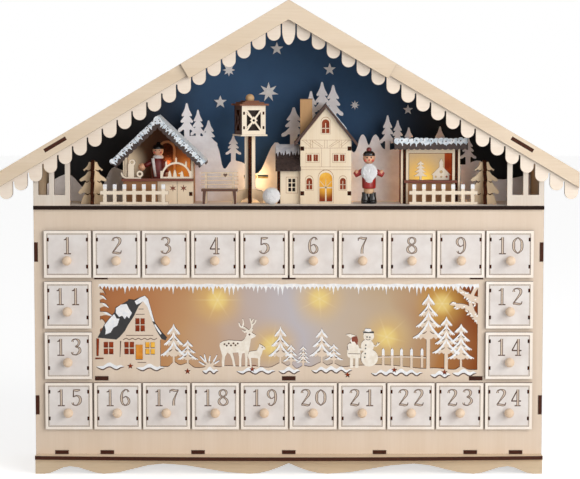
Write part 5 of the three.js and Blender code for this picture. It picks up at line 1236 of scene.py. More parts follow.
# the apron's left part behind the fence is painted in the warm tan as shade
paints = [(WARM_AND_SHADE, rect(x - half - 1, x - 0.8, stage_z, level)), (1, rect(x - 0.9, x - 0.6, stage_z, level)),
          (1, rect(x + half - 13.3, x + half - 13.0, stage_z, level)), (1, stroke(slot_line, 0.35, 1)),
          (1, rect(x + half - 3.6, x + half - 0.8, stage_z + 6.4, stage_z + 9.6))]
paints += [(DARK, star(x + dx, stage_z + 12.6, 3.1, 6, 0.36)) for dx in (half - 16.6, half - 8.0)]
add_sheet(bm, [("add", gable), ("cut", opening)], 22, 24.5, paints=paints)
add_sheet(bm, [("add", rect(x - half - 1, x + half, 18, 28))], level - 1.6, level + 0.4, lay=lying,
          face=DARK, edge=DARK)
peak, eave = stage_z + 71, stage_z + 34.5
steps, paints = [], []
for side in (-1, 1):
    add_sheet(bm, [("add", slanted(x, peak - 0.6, x + side * 38.5, eave - 0.6, 2.2))], 17.5, 55, face=1,
              edge=ROOF)
    more_steps, more_paints = snowy_band(x, peak, x + side * 38.5, eave, 7.4, 5 + side)
    steps += more_steps
    paints += more_paints
    blanket = [(x, peak + 0.1), (x + side * 38.5, eave + 0.1), (x + side * 38.5, eave - 0.62),
               (x, peak - 0.62)]
    add_sheet(bm, [("add", blanket)], 18, 55, face=ICE, edge=ICE)
steps.append(("add", disc(x, peak - 3.4, 3.2)))
paints.insert(0, (ICE, disc(x, peak - 3.0, 3.4)))
add_sheet(bm, steps, 15.5, 17.4, paints=paints, face=ROOF)
finish_piece(bm, "left_stall_piece", village + [lit_back], stands_for=["left_stall"])

# the goods on its counter: a candle arch with two small figures in it, and a sledge
bm = bmesh.new()
ax = -90.5
ring = [(ax + 12.2 * math.cos(t / 20 * math.pi),
         level + 1.6 + 12.2 * math.sin(t / 20 * math.pi)) for t in range(21)]
ring += [(ax + 10.6 * math.cos(t / 20 * math.pi),
          level + 1.6 + 10.6 * math.sin(t / 20 * math.pi)) for t in range(20, -1, -1)]
steps = [("add", ring), ("add", rect(ax - 12.8, ax + 12.8, level + 0.5, level + 2.0))]
for turn in (0.02, 0.27, 0.5, 0.73, 0.98):
    cx, cz = ax + 12 * math.cos(turn * math.pi), level + 1.6 + 12 * math.sin(turn * math.pi)
    if 0.1 < turn < 0.9:
        steps.append(("add", rect(cx - 0.75, cx + 0.75, cz - 0.6, cz + 3.2)))
        steps.append(("add", [(cx - 0.5, cz + 3.1), (cx + 0.5, cz + 3.1), (cx, cz + 4.6)]))
    else:
        steps.append(("add", rect(cx - 0.75, cx + 0.75, cz - 0.6, cz + 4.4)))
for dx, high in ((-5.2, 5.2), (-1.0, 6.2), (4.6, 5.0)):
    steps.append(("add", flowing([(ax + dx - 1.5, level + 1.8), (ax + dx - 1.0, level + 1.8 + high * 0.6),
                                  (ax + dx, level + 1.8 + high),
                                  (ax + dx + 1.0, level + 1.8 + high * 0.6), (ax + dx + 1.6, level + 1.8)],
                                  3)))
steps.append(("add", stroke([(ax + 2.0, level + 4.4), (ax + 5.4, level + 5.6), (ax + 9.6, level + 4.6)],
                            [0.9, 0.9], 3)))
add_sheet(bm, steps, 20, 22)
sx = -126.5
runner = stroke([(sx - 8.0, level + 5.4), (sx - 6.8, level + 2.4), (sx - 3, level + 0.9),
                 (sx + 8, level + 0.7)], [1.4, 1.5, 1.6, 1.5], 4)
steps = [("add", runner), ("add", rect(sx - 2.6, sx + 2.2, level + 0.8, level + 12.4))]
steps.append(("add", disc(sx + 0.8, level + 13.4, 2.6, 16)))
steps.append(("cut", disc(sx + 0.7, level + 13.6, 1.2, 12)))
steps += [("add", disc(sx + 6.8, level + 4.2, 2.7, 18)), ("cut", disc(sx + 6.8, level + 4.2, 1.2, 14))]
add_sheet(bm, steps, 20, 22)
finish_piece(bm, "stall_goods", [pale_birch, burnt])

# The stall keeper: turned and painted wood with a maroon coat, a white scarf, a dark cap
# and one arm held out over the goods; it stands behind the counter.
maroon = plain_paint("maroon_coat", "7c1f1c", "5c1513", 0.4, 300, 0.05)
skin = plain_paint("figure_skin", "e0ae8c", "d69f7c", 0.45, 300, 0.03)
white_wool = plain_paint("white_wool", "ece8e6", "d8d3d0", 0.9, 1200, 0.5)
gloss_black = plain_paint("gloss_black", "1a1716", "100e0e", 0.22, 300, 0.04)
cheek = plain_paint("cheek_red", "cf5c4c", "c24f42", 0.5, 500, 0.03)
bm = bmesh.new()
kx, kd = -106.0, 37.0
profile = [(0, 0), (6, 0), (5.4, 18), (6.0, 28), (5.0, 34), (3.4, 37), (2.0, 38), (0, 38.6)]
turned(bm, [(0, 0), *flowing(profile[1:-1], 3), (0, 38.6)], stand_at(kx, kd, stage_z), slot=0)
ball(bm, kx, kd, stage_z + 37.0, 3.9, 2, (1.15, 1.15, 0.62))
ball(bm, kx, kd, stage_z + 42.2, 4.5, 1)
hair = [(4.5, 43.6), (4.7, 44.4), (4.0, 46.2), (2.2, 47.2), (1.5, 48.4), (0.9, 49.4)]
turned(bm, [(0, 44.4), *flowing(hair, 3), (0, 49.5)], stand_at(kx + 0.3, kd, stage_z), slot=3)
for dx in (-1.5, 1.5):
    ball(bm, kx + dx - 0.3, kd - 4.1, stage_z + 42.6, 0.45, 3, steps=8)
    ball(bm, kx + dx * 1.7 - 0.2, kd - 3.5, stage_z + 40.9, 1.0, 4, (1, 0.5, 0.8), steps=8)
for dx, lean, length, hand in ((-3.8, -116, 8.2, 3.1), (3.6, 160, 9.4, 2.2)):
    arm = flowing([(1.7, 0.3), (2.1, 3), (1.9, length)], 2)
    turned(bm, [(0, 0), *arm, (0, length + 0.2)],
           stand_at(kx + dx, kd - 1, stage_z + 33.6, math.radians(lean)), slot=0, steps=14)
    tilt, far = math.radians(lean), length + hand * 0.7
    ball(bm, kx + dx + far * math.sin(tilt), kd - 1, stage_z + 33.6 + far * math.cos(tilt), hand, 1,
         steps=14)
turned(bm, [(0, 0), (1.0, 0.2), (1.2, 7), (1.3, 15), (0, 15.2)],
       stand_at(kx - 1.9, kd - 5.6, stage_z + 21.4, math.radians(-8)), slot=2, steps=10)
finish_piece(bm, "stall_keeper_piece", [maroon, skin, white_wool, gloss_black, cheek],
             stands_for=["stall_keeper"],
             smooth=None)

# Bench: seat, legs and a slatted back with a dark heart on its second slat, all of thin
# birch sheet slotted together and glued on the stage floor.
bench_wood = birch_board("bench_wood", "e0cdb5", "cfb99d", along="X", scorch=0.8, reach=0.0003)
seat_wood = birch_board("seat_wood", "5a3626", "40241a", along="X", scorch=0)
bm = bmesh.new()
left, right = -70.3, -41.3
seat = stage_z + 11.4
add_sheet(bm, [("add", rect(left, right, 17, 29))], seat - 1.1, seat + 0.9, lay=lying, edge=2)
for side, edge in ((1, left + 1.2), (-1, right - 1.2)):
    leg = [(edge, seat - 1), (edge + side * 2.6, seat - 1), (edge + side * 2.0, seat - 6),
           (edge + side * 1.6, stage_z)]
    leg += [(edge - side * 0.2, stage_z), (edge - side * 0.2, seat - 7)]
    add_sheet(bm, [("add", leg)], 18, 20.4, face=2, edge=2)
    post = rect(min(edge + side * 1.6, edge + side * 3.4), max(edge + side * 1.6, edge + side * 3.4),
                stage_z, stage_z + 25.4)
    add_sheet(bm, [("add", post)], 26.6, 28.8)
slats = [("add", rect(left - 0.3, right + 0.5, stage_z + h,
                      stage_z + h + 1.15)) for h in (24.3, 21.2, 18.0, 14.8)]
slats += [("add", rect(x - 0.8, x + 0.8, stage_z + 12, stage_z + 25)) for x in (left + 3.6, right - 3.6)]
heart = [(0, -1.7), (1.7, 0.3), (1.5, 1.3), (0.7, 1.5), (0, 0.9), (-0.7, 1.5), (-1.5, 1.3), (-1.7, 0.3)]
slats.append(("add", rect(-54.4, -48.0, stage_z + 21.4, stage_z + 25)))
heart = [(-51.2 + dx, stage_z + 22.9 + dz) for dx, dz in heart]
add_sheet(bm, slats, 25.2, 26.7, paints=[(2, heart)])
finish_piece(bm, "bench_piece", [bench_wood, burnt, seat_wood], stands_for=["bench"])

# Lantern: a post of two crossed boards, a turned plank foot, four fretted panes round
# dark sheets painted as the shade inside, the side panes painted darker as shade, a stepped
# stained cap and a turned ball
lantern_birch = birch_board("lantern_birch", "f4e7d3", "e8d5ba", scorch=0.6, reach=0.0003)
inside_shade = plain_paint("inside_shade", "2c1c14", "1f140e", 0.8, 300, 0.05)
cap_stain = birch_board("cap_stain", "8a5230", "6c3c20", along="X", scorch=0.5)
lx, ld, turn = -31.4, 35.0, math.radians(19)


def turned_sheet(quarter):
    """Lays a drawing (across, up, out) on one side of the turned lantern."""
    angle = turn + quarter * math.pi / 2
    def lay(u, z, out):
        return facing(lx + u * math.cos(angle) + out * math.sin(angle), z,
                      ld + u * math.sin(angle) - out * math.cos(angle))
    return lay


def turned_lying(u, v, z):
    return facing(lx + u * math.cos(turn) - v * math.sin(turn), z,
                  ld + u * math.sin(turn) + v * math.cos(turn))


bm = bmesh.new()
foot = [(4.3, 54.8), (4.3, 13), (5.4, 10.6), (9.4, 9.9), (10.6, 8.6), (10.6, 0), (8.2, 0), (6.0, 2.6),
        (3.2, 3.7)]
for middle, lay in ((lx, facing), (ld, sideways)):
    near, far = (33.5, 36.5) if lay is facing else (lx - 1.5, lx + 1.5)
    outline = [(middle + dx, stage_z + h) for dx,
               h in foot] + [(middle - dx, stage_z + h) for dx, h in foot[::-1]]
    if lay is facing:
        add_sheet(bm, [("add", outline)], near, far,
                  paints=[(6, rect(lx - 12, lx + 12, stage_z, stage_z + 11.4))])
        continue
    for side in (1, -1):
        wing = [(middle + side * max(1.49, dx), stage_z + h) for dx, h in foot]
        wing = [(middle + side * 1.49, stage_z + 54.8), *wing, (middle + side * 1.49, stage_z + 3.8)]
        add_sheet(bm, [("add", wing)], near, far, lay=sideways)
low, high = stage_z + 55, stage_z + 79
for quarter in range(4):
    half = 10.0 if quarter % 2 == 0 else 8.0
    panel = [(-half, low), (half, low), (half, high), (-half, high)]
    inner = 5.9 if quarter % 2 == 0 else 5.2
    middle_z = (low + high) / 2
    steps = [("add", panel), ("cut", rect(-inner, inner, low + 3.8, high - 3.8))]
    for way in (1, -1):
        steps.append(("add", stroke([(-inner - 0.5, middle_z - way * 8.6),
                                     (inner + 0.5, middle_z + way * 8.6)], [1.5, 1.5], 1)))
    for dz in (-4.6, 4.6):
        steps.append(("add", stroke([(-inner - 0.4, middle_z + dz * 1.3), (0, middle_z),
                                     (inner + 0.4, middle_z + dz * 1.3)], [0.7, 0.7], 1)))
    steps.append(("add", star(0, middle_z, 3.3, 8, 0.7)))
    steps.append(("cut", disc(0, middle_z, 1.0, 10)))
    paints = [(1, rect(side * 8.2 - 0.8, side * 8.2 + 0.8, z - 1.2,
                       z + 1.2)) for side in (-1, 1) for z in (low + 6.2, high - 6.2)]
    front = quarter % 2 == 0
    add_sheet(bm, steps, 10.0, 8.0, lay=turned_sheet(quarter), paints=paints if front else (),
              face=0 if front else 5)
    # dark sheets just inside the panes: painted shade for the lantern's hollow
    add_sheet(bm, [("add", rect(-7.6, 7.6, low + 0.5, high - 0.5))], 7.0, 6.6, lay=turned_sheet(quarter),
              face=2, edge=2)
for bottom, top, reach, slot in ((54.4, 55.6, 11.2, 0), (78.9, 80.3, 12.1, 3), (80.3, 81.6, 9.2, 3),
                                 (81.6, 82.8, 6.0, 3)):
    add_sheet(bm, [("add", rect(-reach, reach, -reach, reach))], stage_z + bottom, stage_z + top,
              lay=turned_lying, face=slot, edge=slot)
ball(bm, lx, ld, stage_z + 84.6, 3.6, 4)
ball_wood = birch_board("ball_wood", "dcb88c", "caa272", scorch=0)
# the side panes' birch, painted darker as shade
shaded = birch_board("lantern_side_shade", "5a3a2c", "46291d", scorch=0.5, reach=0.0003)
finish_piece(bm, "lantern_piece", [lantern_birch, burnt, inside_shade, cap_stain, ball_wood, shaded,
                                   tree_birch],
             stands_for=["lantern"], smooth=None)


# Snowball: a ball of white fibres, a core with short tufts all round it, flat below where
# it is glued on the stage floor.
def fluffy(bm, place, radii, tufts, length, slot, seed):
    """A ball with short tufts of fibre standing out of it all round."""
    body = bmesh.ops.create_icosphere(bm, subdivisions=3, radius=1.0,
                                      matrix=place @ Matrix.Diagonal((*radii, 1)))
    faces = {f for v in body["verts"] for f in v.link_faces}
    chance = random.Random(seed)
    for i in range(tufts):
        up = 1 - 2 * (i + 0.5) / tufts
        round_it = i * 2.39996 + chance.uniform(-0.2, 0.2)
        flat = math.sqrt(1 - up * up)
        out = Vector((flat * math.cos(round_it), flat * math.sin(round_it), up))
        lean = out + Vector([chance.uniform(-0.55, 0.55) for _ in range(3)])
        at = Matrix.Translation([a * r * 0.97 for a, r in zip(out, radii)])
        spin = lean.to_track_quat("Z", "Y").to_matrix().to_4x4()
        tall = length * chance.uniform(0.6, 1.1)
        spot = place @ at @ spin @ Matrix.Translation((0, 0, tall / 2 - 0.1 * length))
        made = bmesh.ops.create_cone(
            bm, cap_ends=True, segments=4, radius1=length * 0.55, radius2=length * 0.12, depth=tall,
            matrix=spot
        )
        faces |= {f for v in made["verts"] for f in v.link_faces}
    for f in faces:
        f.smooth = True
        f.material_index = slot


fur, tree, shader = new_material("white_fur", 0.95)
place = node(tree, "TexCoord").outputs["Object"]
tuft = node(tree, "TexNoise", {"Vector": place, "Scale": 900, "Detail": 4, "Roughness": 0.7})
tone = node(tree, "Mix", {"Factor": tuft.outputs["Fac"], "A": colour("eeeef0"), "B": colour("fcfcfc")},
            data_type="RGBA")
tree.links.new(tone.outputs[2], shader.inputs["Base Color"])
bump = node(tree, "Bump", {"Height": tuft.outputs["Fac"], "Strength": 0.5, "Distance": 0.0004})
tree.links.new(bump.outputs[0], shader.inputs["Normal"])
shader.inputs["Sheen Weight"].default_value = 0.3
bm = bmesh.new()
fluffy(bm, stand_at(-14, 17, stage_z + 6.7), (6.4, 6.4, 6.0), 1400, 1.2, 0, 5)
finish_piece(bm, "snowball_piece", [fur], stands_for=["snowball"], smooth=None)

# Town house: four thin walls with windows cut in the front; engraved timber beams, tab
# ends of the side walls, red-brown films in the windows and a yellow fan over the door.
house_birch = birch_board("house_birch", "f2e2c9", "e6d0b0", scorch=0.6, reach=0.0003)
toasted = plain_paint("toasted_line", "b07c4a", "956336", 0.85, 900)
TOAST = 6
bm = bmesh.new()
hx, half = 29.8, 20.5
wall, ridge = stage_z + 51.6, stage_z + 76.9
shape = [(hx - half, stage_z), (hx + half, stage_z), (hx + half, wall), (hx, ridge), (hx - half, wall)]
steps, paints = [("add", shape)], []
door = arch(hx - 5.2, hx + 5.2, stage_z + 2, stage_z + 20.2)
small = [arch(x, x + 4.6, stage_z + 11.8, stage_z + 18.6) for x in (hx - 15.6, hx + 11.4)]
attic = arch(hx - 3.2, hx + 2.8, stage_z + 57, stage_z + 65)
upper = [rect(hx + dx, hx + dx + 3.5, stage_z + 34.5, stage_z + 39.7) for dx in (-15, -9.9, 6.4, 11.5)]
for outline in (door, *small, attic, *upper):
    steps.append(("cut", outline))
paints.append((TOAST, arch(hx - 6.3, hx + 6.3, stage_z + 0.8, stage_z + 21.4)))
paints.append((0, arch(hx - 6.05, hx + 6.05, stage_z + 1.05, stage_z + 21.15)))
for x in (hx - 15.6, hx + 11.4):
    paints.append((TOAST, arch(x - 0.95, x + 5.55, stage_z + 10.7, stage_z + 19.7)))
    paints.append((0, arch(x - 0.75, x + 5.35, stage_z + 10.9, stage_z + 19.5)))
paints.append((TOAST, arch(hx - 4.1, hx + 3.7, stage_z + 56.1, stage_z + 66.1)))
paints.append((0, arch(hx - 3.9, hx + 3.5, stage_z + 56.3, stage_z + 65.9)))
for dx in (-15, 6.4):
    paints.append((TOAST, rect(hx + dx - 1.1, hx + dx + 9.7, stage_z + 33.3, stage_z + 40.9)))
    paints.append((0, rect(hx + dx - 0.9, hx + dx + 9.5, stage_z + 33.5, stage_z + 40.7)))
line = lambda *points: paints.append((TOAST, stroke(list(points), [0.22] * len(points), 1)))
for h in (27.6, 29.9, 45.0, 51.4):
    line((hx - half, stage_z + h), (hx + half, stage_z + h))
for dx in (-3.4, 3.4):
    line((hx + dx, stage_z + 29.9), (hx + dx, stage_z + 45))
beams = [[(-18.8, 51.2), (-12.6, 46.2)], [(-16.2, 51.2), (-11.4, 47.2)], [(-2.4, 46.2), (-9.2, 51.2)],
         [(-3.6, 45.6), (-11.4, 50.6)],
         [(-12.4, 51.4), (-12.4, 45.0)], [(-10.6, 51.4), (-10.6, 45.0)], [(-1.0, 51.4), (-1.0, 45)]]
for beam in beams:
    for side in (1, -1):
        line(*[(hx + side * dx, stage_z + h) for dx, h in beam])
for z in (stage_z + 44.6, stage_z + 8.6):
    for side in (1, -1):
        x = hx + side * 18.9
        paints.append((1, rect(x - 1.5, x + 1.5, z - 1.7, z + 1.7)))
add_sheet(bm, steps, 20, 22.5, paints=paints)
for edge in (hx - half, hx + half - 2.5):
    add_sheet(bm, [("add", rect(22.4, 47.6, stage_z, wall))], edge, edge + 2.5, lay=sideways)
add_sheet(bm, [("add", shape), ("cut", rect(hx - 12, hx + 12, stage_z + 6, stage_z + 40))], 47.5, 50)

# its bars, and the films behind them
bars = [rect(hx - 0.6, hx + 0.6, stage_z + 2, stage_z + 13.4),
        rect(hx - 5.3, hx + 5.3, stage_z + 12.6, stage_z + 13.6)]
for lean in (-0.7, 0.0, 0.7):
    bars.append(stroke([(hx, stage_z + 13), (hx + 6.9 * math.sin(lean),
                                             stage_z + 13 + 6.9 * math.cos(lean))], [0.45, 0.45], 1))
for x in (hx - 13.3, hx + 13.7):
    bars += [rect(x - 0.3, x + 0.3, stage_z + 11.8, stage_z + 18.6),
             rect(x - 2.3, x + 2.3, stage_z + 15.2, stage_z + 15.8)]
bars += [rect(hx - 0.55, hx + 0.15, stage_z + 57, stage_z + 65),
         rect(hx - 3.2, hx + 2.8, stage_z + 60.4, stage_z + 61.1)]
for dx in (-15, -9.9, 6.4, 11.5):
    bars += [rect(hx + dx + 1.6, hx + dx + 1.9, stage_z + 34.5, stage_z + 39.7)]
for bar in bars:
    add_sheet(bm, [("add", bar)], 21.2, 22.4)

# the annex: a low wall with a six-pane window under a roof of shingles and snow
ax0, ax1 = -9.3, 9.3
panes = [rect(ax0 + dx, ax0 + dx + 2.3, stage_z + h,
              stage_z + h + 2.9) for h in (10, 13.6, 17.2) for dx in (9.0, 12.2)]
border = [(TOAST, rect(ax0 + 7.0, ax0 + 16.6, stage_z + 8.4, stage_z + 21.6)),
          (0, rect(ax0 + 7.3, ax0 + 16.3, stage_z + 8.7, stage_z + 21.3))]
add_sheet(bm, [("add", rect(ax0 + 2.5, ax1 + 0.2, stage_z, stage_z + 28)),
               *[("cut", pane) for pane in panes]], 24, 26.5, paints=border)
side = [(24, stage_z), (44, stage_z), (44, stage_z + 41), (24, stage_z + 28)]
add_sheet(bm, [("add", side)], ax0, ax0 + 2.5, lay=sideways)
slant = [(19.4, stage_z + 26.4), (19.4, stage_z + 28.4), (44, stage_z + 44.5), (44, stage_z + 42.5)]
add_sheet(bm, [("add", slant)], ax0 - 1.4, ax1 + 0.4, lay=sideways, face=ROOF, edge=ROOF)


def on_slant(x, up, out):
    """Lays a drawing (across, up the slope) on the annex's roof."""
    lean = math.atan2(17, 26)
    return facing(x, stage_z + 27.5 + up * math.sin(lean) + out * math.cos(lean),
                  18 + up * math.cos(lean) - out * math.sin(lean))


def wave(x0, x1, high, low, period, bulge):
    points = []
    count = round((x1 - x0) / period)
    for i in range(count * 6 + 1):
        points.append((x0 + (x1 - x0) * i / (count * 6),
                       low + bulge * (1 - abs(math.sin(math.pi * i / 6)))))
    return [(x0, high), (x1, high), *points[::-1]]


for row, (low, high) in enumerate(((-1.2, 9), (5.6, 16), (12.6, 26))):
    add_sheet(bm, [("add", wave(ax0 - 1.4, ax1 + 0.3, high, low, 4.2, 1.5))], 1.2 + 0.7 * row, 0.02,
              lay=on_slant, face=ROOF, edge=ROOF)
drips = [(ax0 - 1.2 + 19.2 * i / 22,
          19.0 + 3.2 * math.sin(2.3 * i) + 1.6 * math.sin(5.1 * i)) for i in range(23)]
add_sheet(bm, [("add", [(ax0 - 1.2, 31), (ax0 + 18, 31), *drips[::-1]])], 3.4, 2.5, lay=on_slant, face=ICE,
          edge=ICE)
# the door's glow round its lamp and the light of the window films are painted in as emission
door_film = lit_wall("door_film", "8a2a0c", [((29.8, -12, 229), 11, "f0ae38")])
house_films = [red_film, yellow_film, inside_shade, door_film]
annex_snow = plain_paint("annex_snow", "f6f5f8", "dcdde6", 0.8, 300, 0.4, 0.0005)
finish_piece(bm, "town_house_piece", [house_birch, burnt, roof_stain, annex_snow, warm_wall_and_shade, counter_wood,
                                      toasted],
             stands_for=["town_house"])
bm = bmesh.new()
add_sheet(bm, [("add", rect(hx - 5.4, hx + 5.4, stage_z + 1.8, stage_z + 13))], 22.7, 23.2, edge=3, face=3)
add_sheet(bm, [("add", arch(hx - 5.4, hx + 5.4, stage_z + 13, stage_z + 20.4))], 22.7, 23.2, edge=1, face=1)
for outline in (*small, attic, *upper):
    add_sheet(bm, [("add", outline)], 22.7, 23.2, edge=0)
# a dark sheet behind the annex's panes: painted shade for the room inside
add_sheet(bm, [("add", rect(ax0 + 8.2, ax0 + 15.4, stage_z + 9.4, stage_z + 20.8))], 27, 27.5, edge=2,
          face=2)
finish_piece(bm, "house_films", house_films)

# its roof: two stained boards with a line of snow on the right one, and a chimney
bm = bmesh.new()
lean = 25.3 / 20.5
under = lambda dx: stage_z + 77.5 - abs(dx) * lean
roof_edge = birch_board("roof_edge", "452a1e", "341d14", along="X", scorch=0.4)
chimney_wood = birch_board("chimney_wood", "c59a68", "b3875a", along="Z", scorch=0.3)
for side in (-1, 1):
    bar = [(hx, under(0)), (hx + side * 25.3, under(25.3)), (hx + side * 25.3, under(25.3) + 3),
           (hx, under(0) + 3)]
    add_sheet(bm, [("add", bar)], 16.5, 53)
snow_line = [(hx + 0.6, under(0.6) + 2.9), (hx + 17, under(17) + 2.9), (hx + 16, under(16) + 4.0),
             (hx + 0.6, under(0.6) + 3.7)]
add_sheet(bm, [("add", snow_line)], 18, 51, face=2, edge=2)
stack = [(hx - 20.6, under(20.6) + 2), (hx - 10.8, under(10.8) + 2), (hx - 10.8, stage_z + 84),
         (hx - 20.6, stage_z + 84)]
add_sheet(bm, [("add", stack)], 28, 38, face=3, edge=3)
cap = [(hx - 20.9, stage_z + 84), (hx - 10.5, stage_z + 84), (hx - 10.5, stage_z + 84.4),
       (hx - 20.9, stage_z + 84.4)]
add_sheet(bm, [("add", cap)], 27.7, 38.3, face=0, edge=0)
finish_piece(bm, "town_house_roof_piece", [roof_edge, roof_edge, ice, chimney_wood],
             stands_for=["town_house_roof"])

# Bearded figure: turned and painted wood, a red coat with raised arms, a rough white
# beard, dark hair under a small red bobble, and black boots glued on the stage floor.
red_coat = plain_paint("red_coat", "a5211b", "861812", 0.35, 300, 0.05)
tan_band = plain_paint("tan_band", "dcb891", "c9a27a", 0.55, 400, 0.05)
bm = bmesh.new()
fx, fd = 64.6, 24.0
middle = stand_at(fx, fd, stage_z)
coat = [(5.0, 12.4), (5.5, 13.4), (5.6, 17), (5.5, 22), (5.2, 25.5), (4.4, 29), (3.0, 31), (2.4, 31.8)]
turned(bm, [(0, 12.2), *flowing(coat, 3), (0, 32)], middle, slot=0)
turned(bm, [(0, 8.2), (3.9, 8.4), (4.1, 10), (4.1, 12.6), (0, 12.8)], middle, slot=5)
for side in (-1, 1):
    boot = flowing([(2.6, 0.05), (3.3, 0.5), (3.2, 3.6), (2.7, 6.2), (2.7, 9.2)], 3)
    turned(bm, [(0, 0), *boot, (0, 9.3)], stand_at(fx + side * 2.95, fd, stage_z), slot=3, steps=18)
    ball(bm, fx + side * 3.2, fd - 1.6, stage_z + 1.7, 2.6, 3, (1, 1.3, 0.64), steps=14)
    sleeve = flowing([(1.9, 0.4), (2.3, 3), (1.8, 8.2)], 3)
    turned(bm, [(0, 0), *sleeve, (0, 8.4)],
           stand_at(fx + side * 4.4, fd - 0.5, stage_z + 27.0, side * math.radians(122)), slot=0, steps=14)
    elbow = (fx + side * 9.6, stage_z + 23.4)
    turned(bm, [(0, 0), *flowing([(1.7, 0.4), (1.6, 2.2), (1.5, 4.0)], 2), (0, 4.2)],
           stand_at(elbow[0] - side * 0.6, fd - 0.8, elbow[1] - 0.8, side * math.radians(40)), slot=0,
           steps=12)
    ball(bm, fx + side * 9.9, fd - 0.9, stage_z + 25.6, 1.9, 1, steps=12)
    ball(bm, fx + side * 1.6, fd - 4.5, stage_z + 37.4, 0.65, 3, steps=8)
    ball(bm, fx + side * 2.9, fd - 3.7, stage_z + 35.0, 1.2, 4, (1, 0.5, 0.85), steps=10)
ball(bm, fx, fd, stage_z + 36.8, 4.9, 1, steps=20)
ball(bm, fx + 0.1, fd - 4.8, stage_z + 35.4, 0.7, 4, steps=8)
hair = [(0, 38.0), (4.75, 38.6), (4.9, 39.4), (4.5, 40.8), (3.0, 42.3), (0, 42.8)]
turned(bm, [hair[0], *flowing(hair[1:-1], 3), hair[-1]], middle, slot=3)
ball(bm, fx, fd, stage_z + 43.4, 2.2, 6, steps=14)
fluffy(bm, stand_at(fx, fd - 4.2, stage_z + 25.8), (6.0, 3.2, 6.2), 900, 1.1, 2, 9)
fluffy(bm, stand_at(fx, fd - 4.6, stage_z + 20.2), (2.8, 2.2, 3.0), 220, 1.0, 2, 10)
finish_piece(bm, "bearded_figure_piece", [red_coat, skin, fur, gloss_black, cheek, tan_band, maroon],
             stands_for=["bearded_figure"], smooth=None)

# Right stall: two posts with ply edges, a window frame over the counter, side walls and
# the same stained roof with snow on its front band; a fir and a cottage stand inside.
bm = bmesh.new()
rx, half = 114.0, 23.8
level, top = stage_z + 18, stage_z + 46
front = rect(rx - half, rx + half, stage_z, top)
window = rect(rx - 17.2, rx + 17.2, level + 1, top - 5.4)
# the apron under the counter, behind the fence, is painted in the warm tan as shade
rim = [(1, rect(rx - 17.6, rx + 17.6, level + 0.6, top - 5.0)),
       (WARM_AND_SHADE, rect(rx - 18, rx + 18, stage_z, level - 1))]
waves = []
for i in range(37):
    waves.append((rx - 18 + i, top - 2.4 - 1.0 * abs(math.sin(i * math.pi / 4))))
rim.append((WARM_AND_SHADE, stroke(waves, [0.4, 0.4], 1)))
rim += [(1, rect(rx + side * 20.9 - 1.3, rx + side * 20.9 + 1.3, stage_z, top)) for side in (-1, 1)]
add_sheet(bm, [("add", front), ("cut", window)], 22, 24.5, paints=rim)
for edge in (rx - half, rx + half - 2.5):
    add_sheet(bm, [("add", [(24.4, stage_z), (48, stage_z), (48, stage_z + 49), (24.4, stage_z + 45)])],
              edge, edge + 2.5,
              lay=sideways, face=7)
add_sheet(bm, [("add", rect(rx - half, rx + half, stage_z, stage_z + 48.8))], 45.5, 48, face=WARM_AND_SHADE)
add_sheet(bm, [("add", rect(rx - 21.2, rx + 21.2, 19, 34))], level - 1, level + 1, lay=lying, face=DARK,
          edge=DARK)
cover = [(16, top - 1.6), (16, top + 0.9), (51, stage_z + 51.8), (51, stage_z + 49.3)]
add_sheet(bm, [("add", cover)], rx - half - 5, rx + half + 5, lay=sideways, face=ROOF, edge=ROOF)
steps, paints = snowy_band(rx - half - 5.6, top + 7.4, rx + half + 5.6, top + 7.4, 9.6, 12, puff=1.5)
add_sheet(bm, steps, 14.4, 16.2, paints=paints, face=ROOF)
right_lit = lit_wall("right_stall_lit_wall", "cdb08a",
                     [((108, 10, 236), 22, "e6b95c"), ((111, 10, 233), 9, "fbd25c")])
inner_red = birch_board("stall_red_inside", "8a3816", "742c10", scorch=0.3)
finish_piece(bm, "right_stall_piece", village + [right_lit, inner_red], stands_for=["right_stall"])
bm = bmesh.new()
gx, base = rx - 7.6, level + 1
outlines, _, _ = fir(gx, base, base + 15.6, 5.6, 4)
steps = [("add", outline) for outline in outlines]
cx = rx + 9
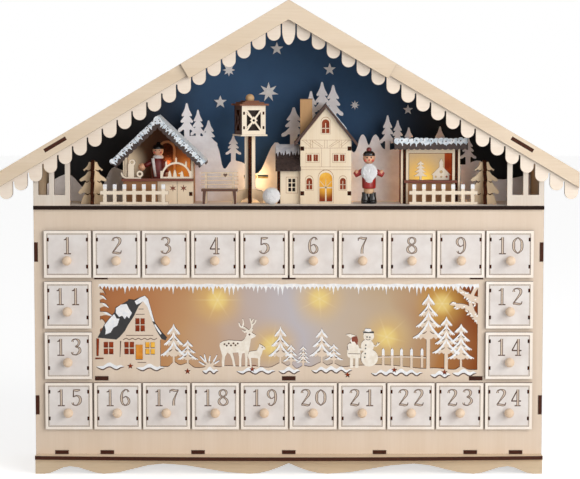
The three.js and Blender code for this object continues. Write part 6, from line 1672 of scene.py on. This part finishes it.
steps += [("add", rect(cx - 6.6, cx + 6.6, base, base + 4.6)),
          ("add", [(cx - 7.8, base + 4.0), (cx, base + 12.0), (cx + 7.8, base + 4.0)]),
          ("add", rect(cx - 1.5, cx + 1.5, base + 9, base + 13.6)),
          ("add", [(cx - 2, base + 13.4), (cx + 2, base + 13.4), (cx, base + 17.4)])]
steps += [("cut", disc(cx + dx, base + 2.6, 0.8, 8)) for dx in (-4.4, 0, 4.4)]
steps += [("cut", disc(cx, base + 6.6, 1.2, 10))]
add_sheet(bm, steps, 27, 29)
finish_piece(bm, "right_stall_goods", [pale_birch, burnt])
# the stall's lit inside, painted as emission: brighter round the lamp, with a red-brown glowing strip on
# its right
bm = bmesh.new()
add_sheet(bm, [("add", rect(rx - 19, rx + 13, stage_z + 17, stage_z + 44))], 44.6, 45.4, edge=0)
add_sheet(bm, [("add", rect(rx + 13, rx + 19, stage_z + 17, stage_z + 44))], 44.6, 45.4, edge=1, face=1)
finish_piece(bm, "right_stall_glow", [right_lit, red_film])

# Light string: thin wire with small clear lamps that glow warm; each stage lamp stands in
# a slot of the hills and lights the boards round it.
dress("light_string", glowing_film("lamp_glow", "f6d58e", "e0a850", 0.7))
bm = bmesh.new()
for x, h in lamps:
    ball(bm, x, 57.6, stage_z + h, 1.5, 0, (1, 1.3, 1.2), steps=12)
finish_piece(bm, "stage_bulbs", [glowing_film("bulb_glow", "fff0c0", "ffd988", 1.6)],
             smooth=None)


def warm_lamp(name, x, depth, z, watts):
    """The light that a small lamp of the string throws on the boards round it."""
    lamp = bpy.data.lights.new(name, "POINT")
    lamp.energy = watts
    lamp.color = (1.0, 0.62, 0.28)
    lamp.shadow_soft_size = 2.5 * mm
    place = bpy.data.objects.new(name, lamp)
    place.location = facing(x, z, depth)
    scene.collection.objects.link(place)


for index, (x, h) in enumerate(lamps):
    warm_lamp("stage_lamp_%d" % (index + 1), x, 51, stage_z + h, 0.011)
warm_lamp("left_stall_lamp", -84, 44, stage_z + 30, 0.006)
warm_lamp("right_stall_lamp", 108, 38, stage_z + 24, 0.008)
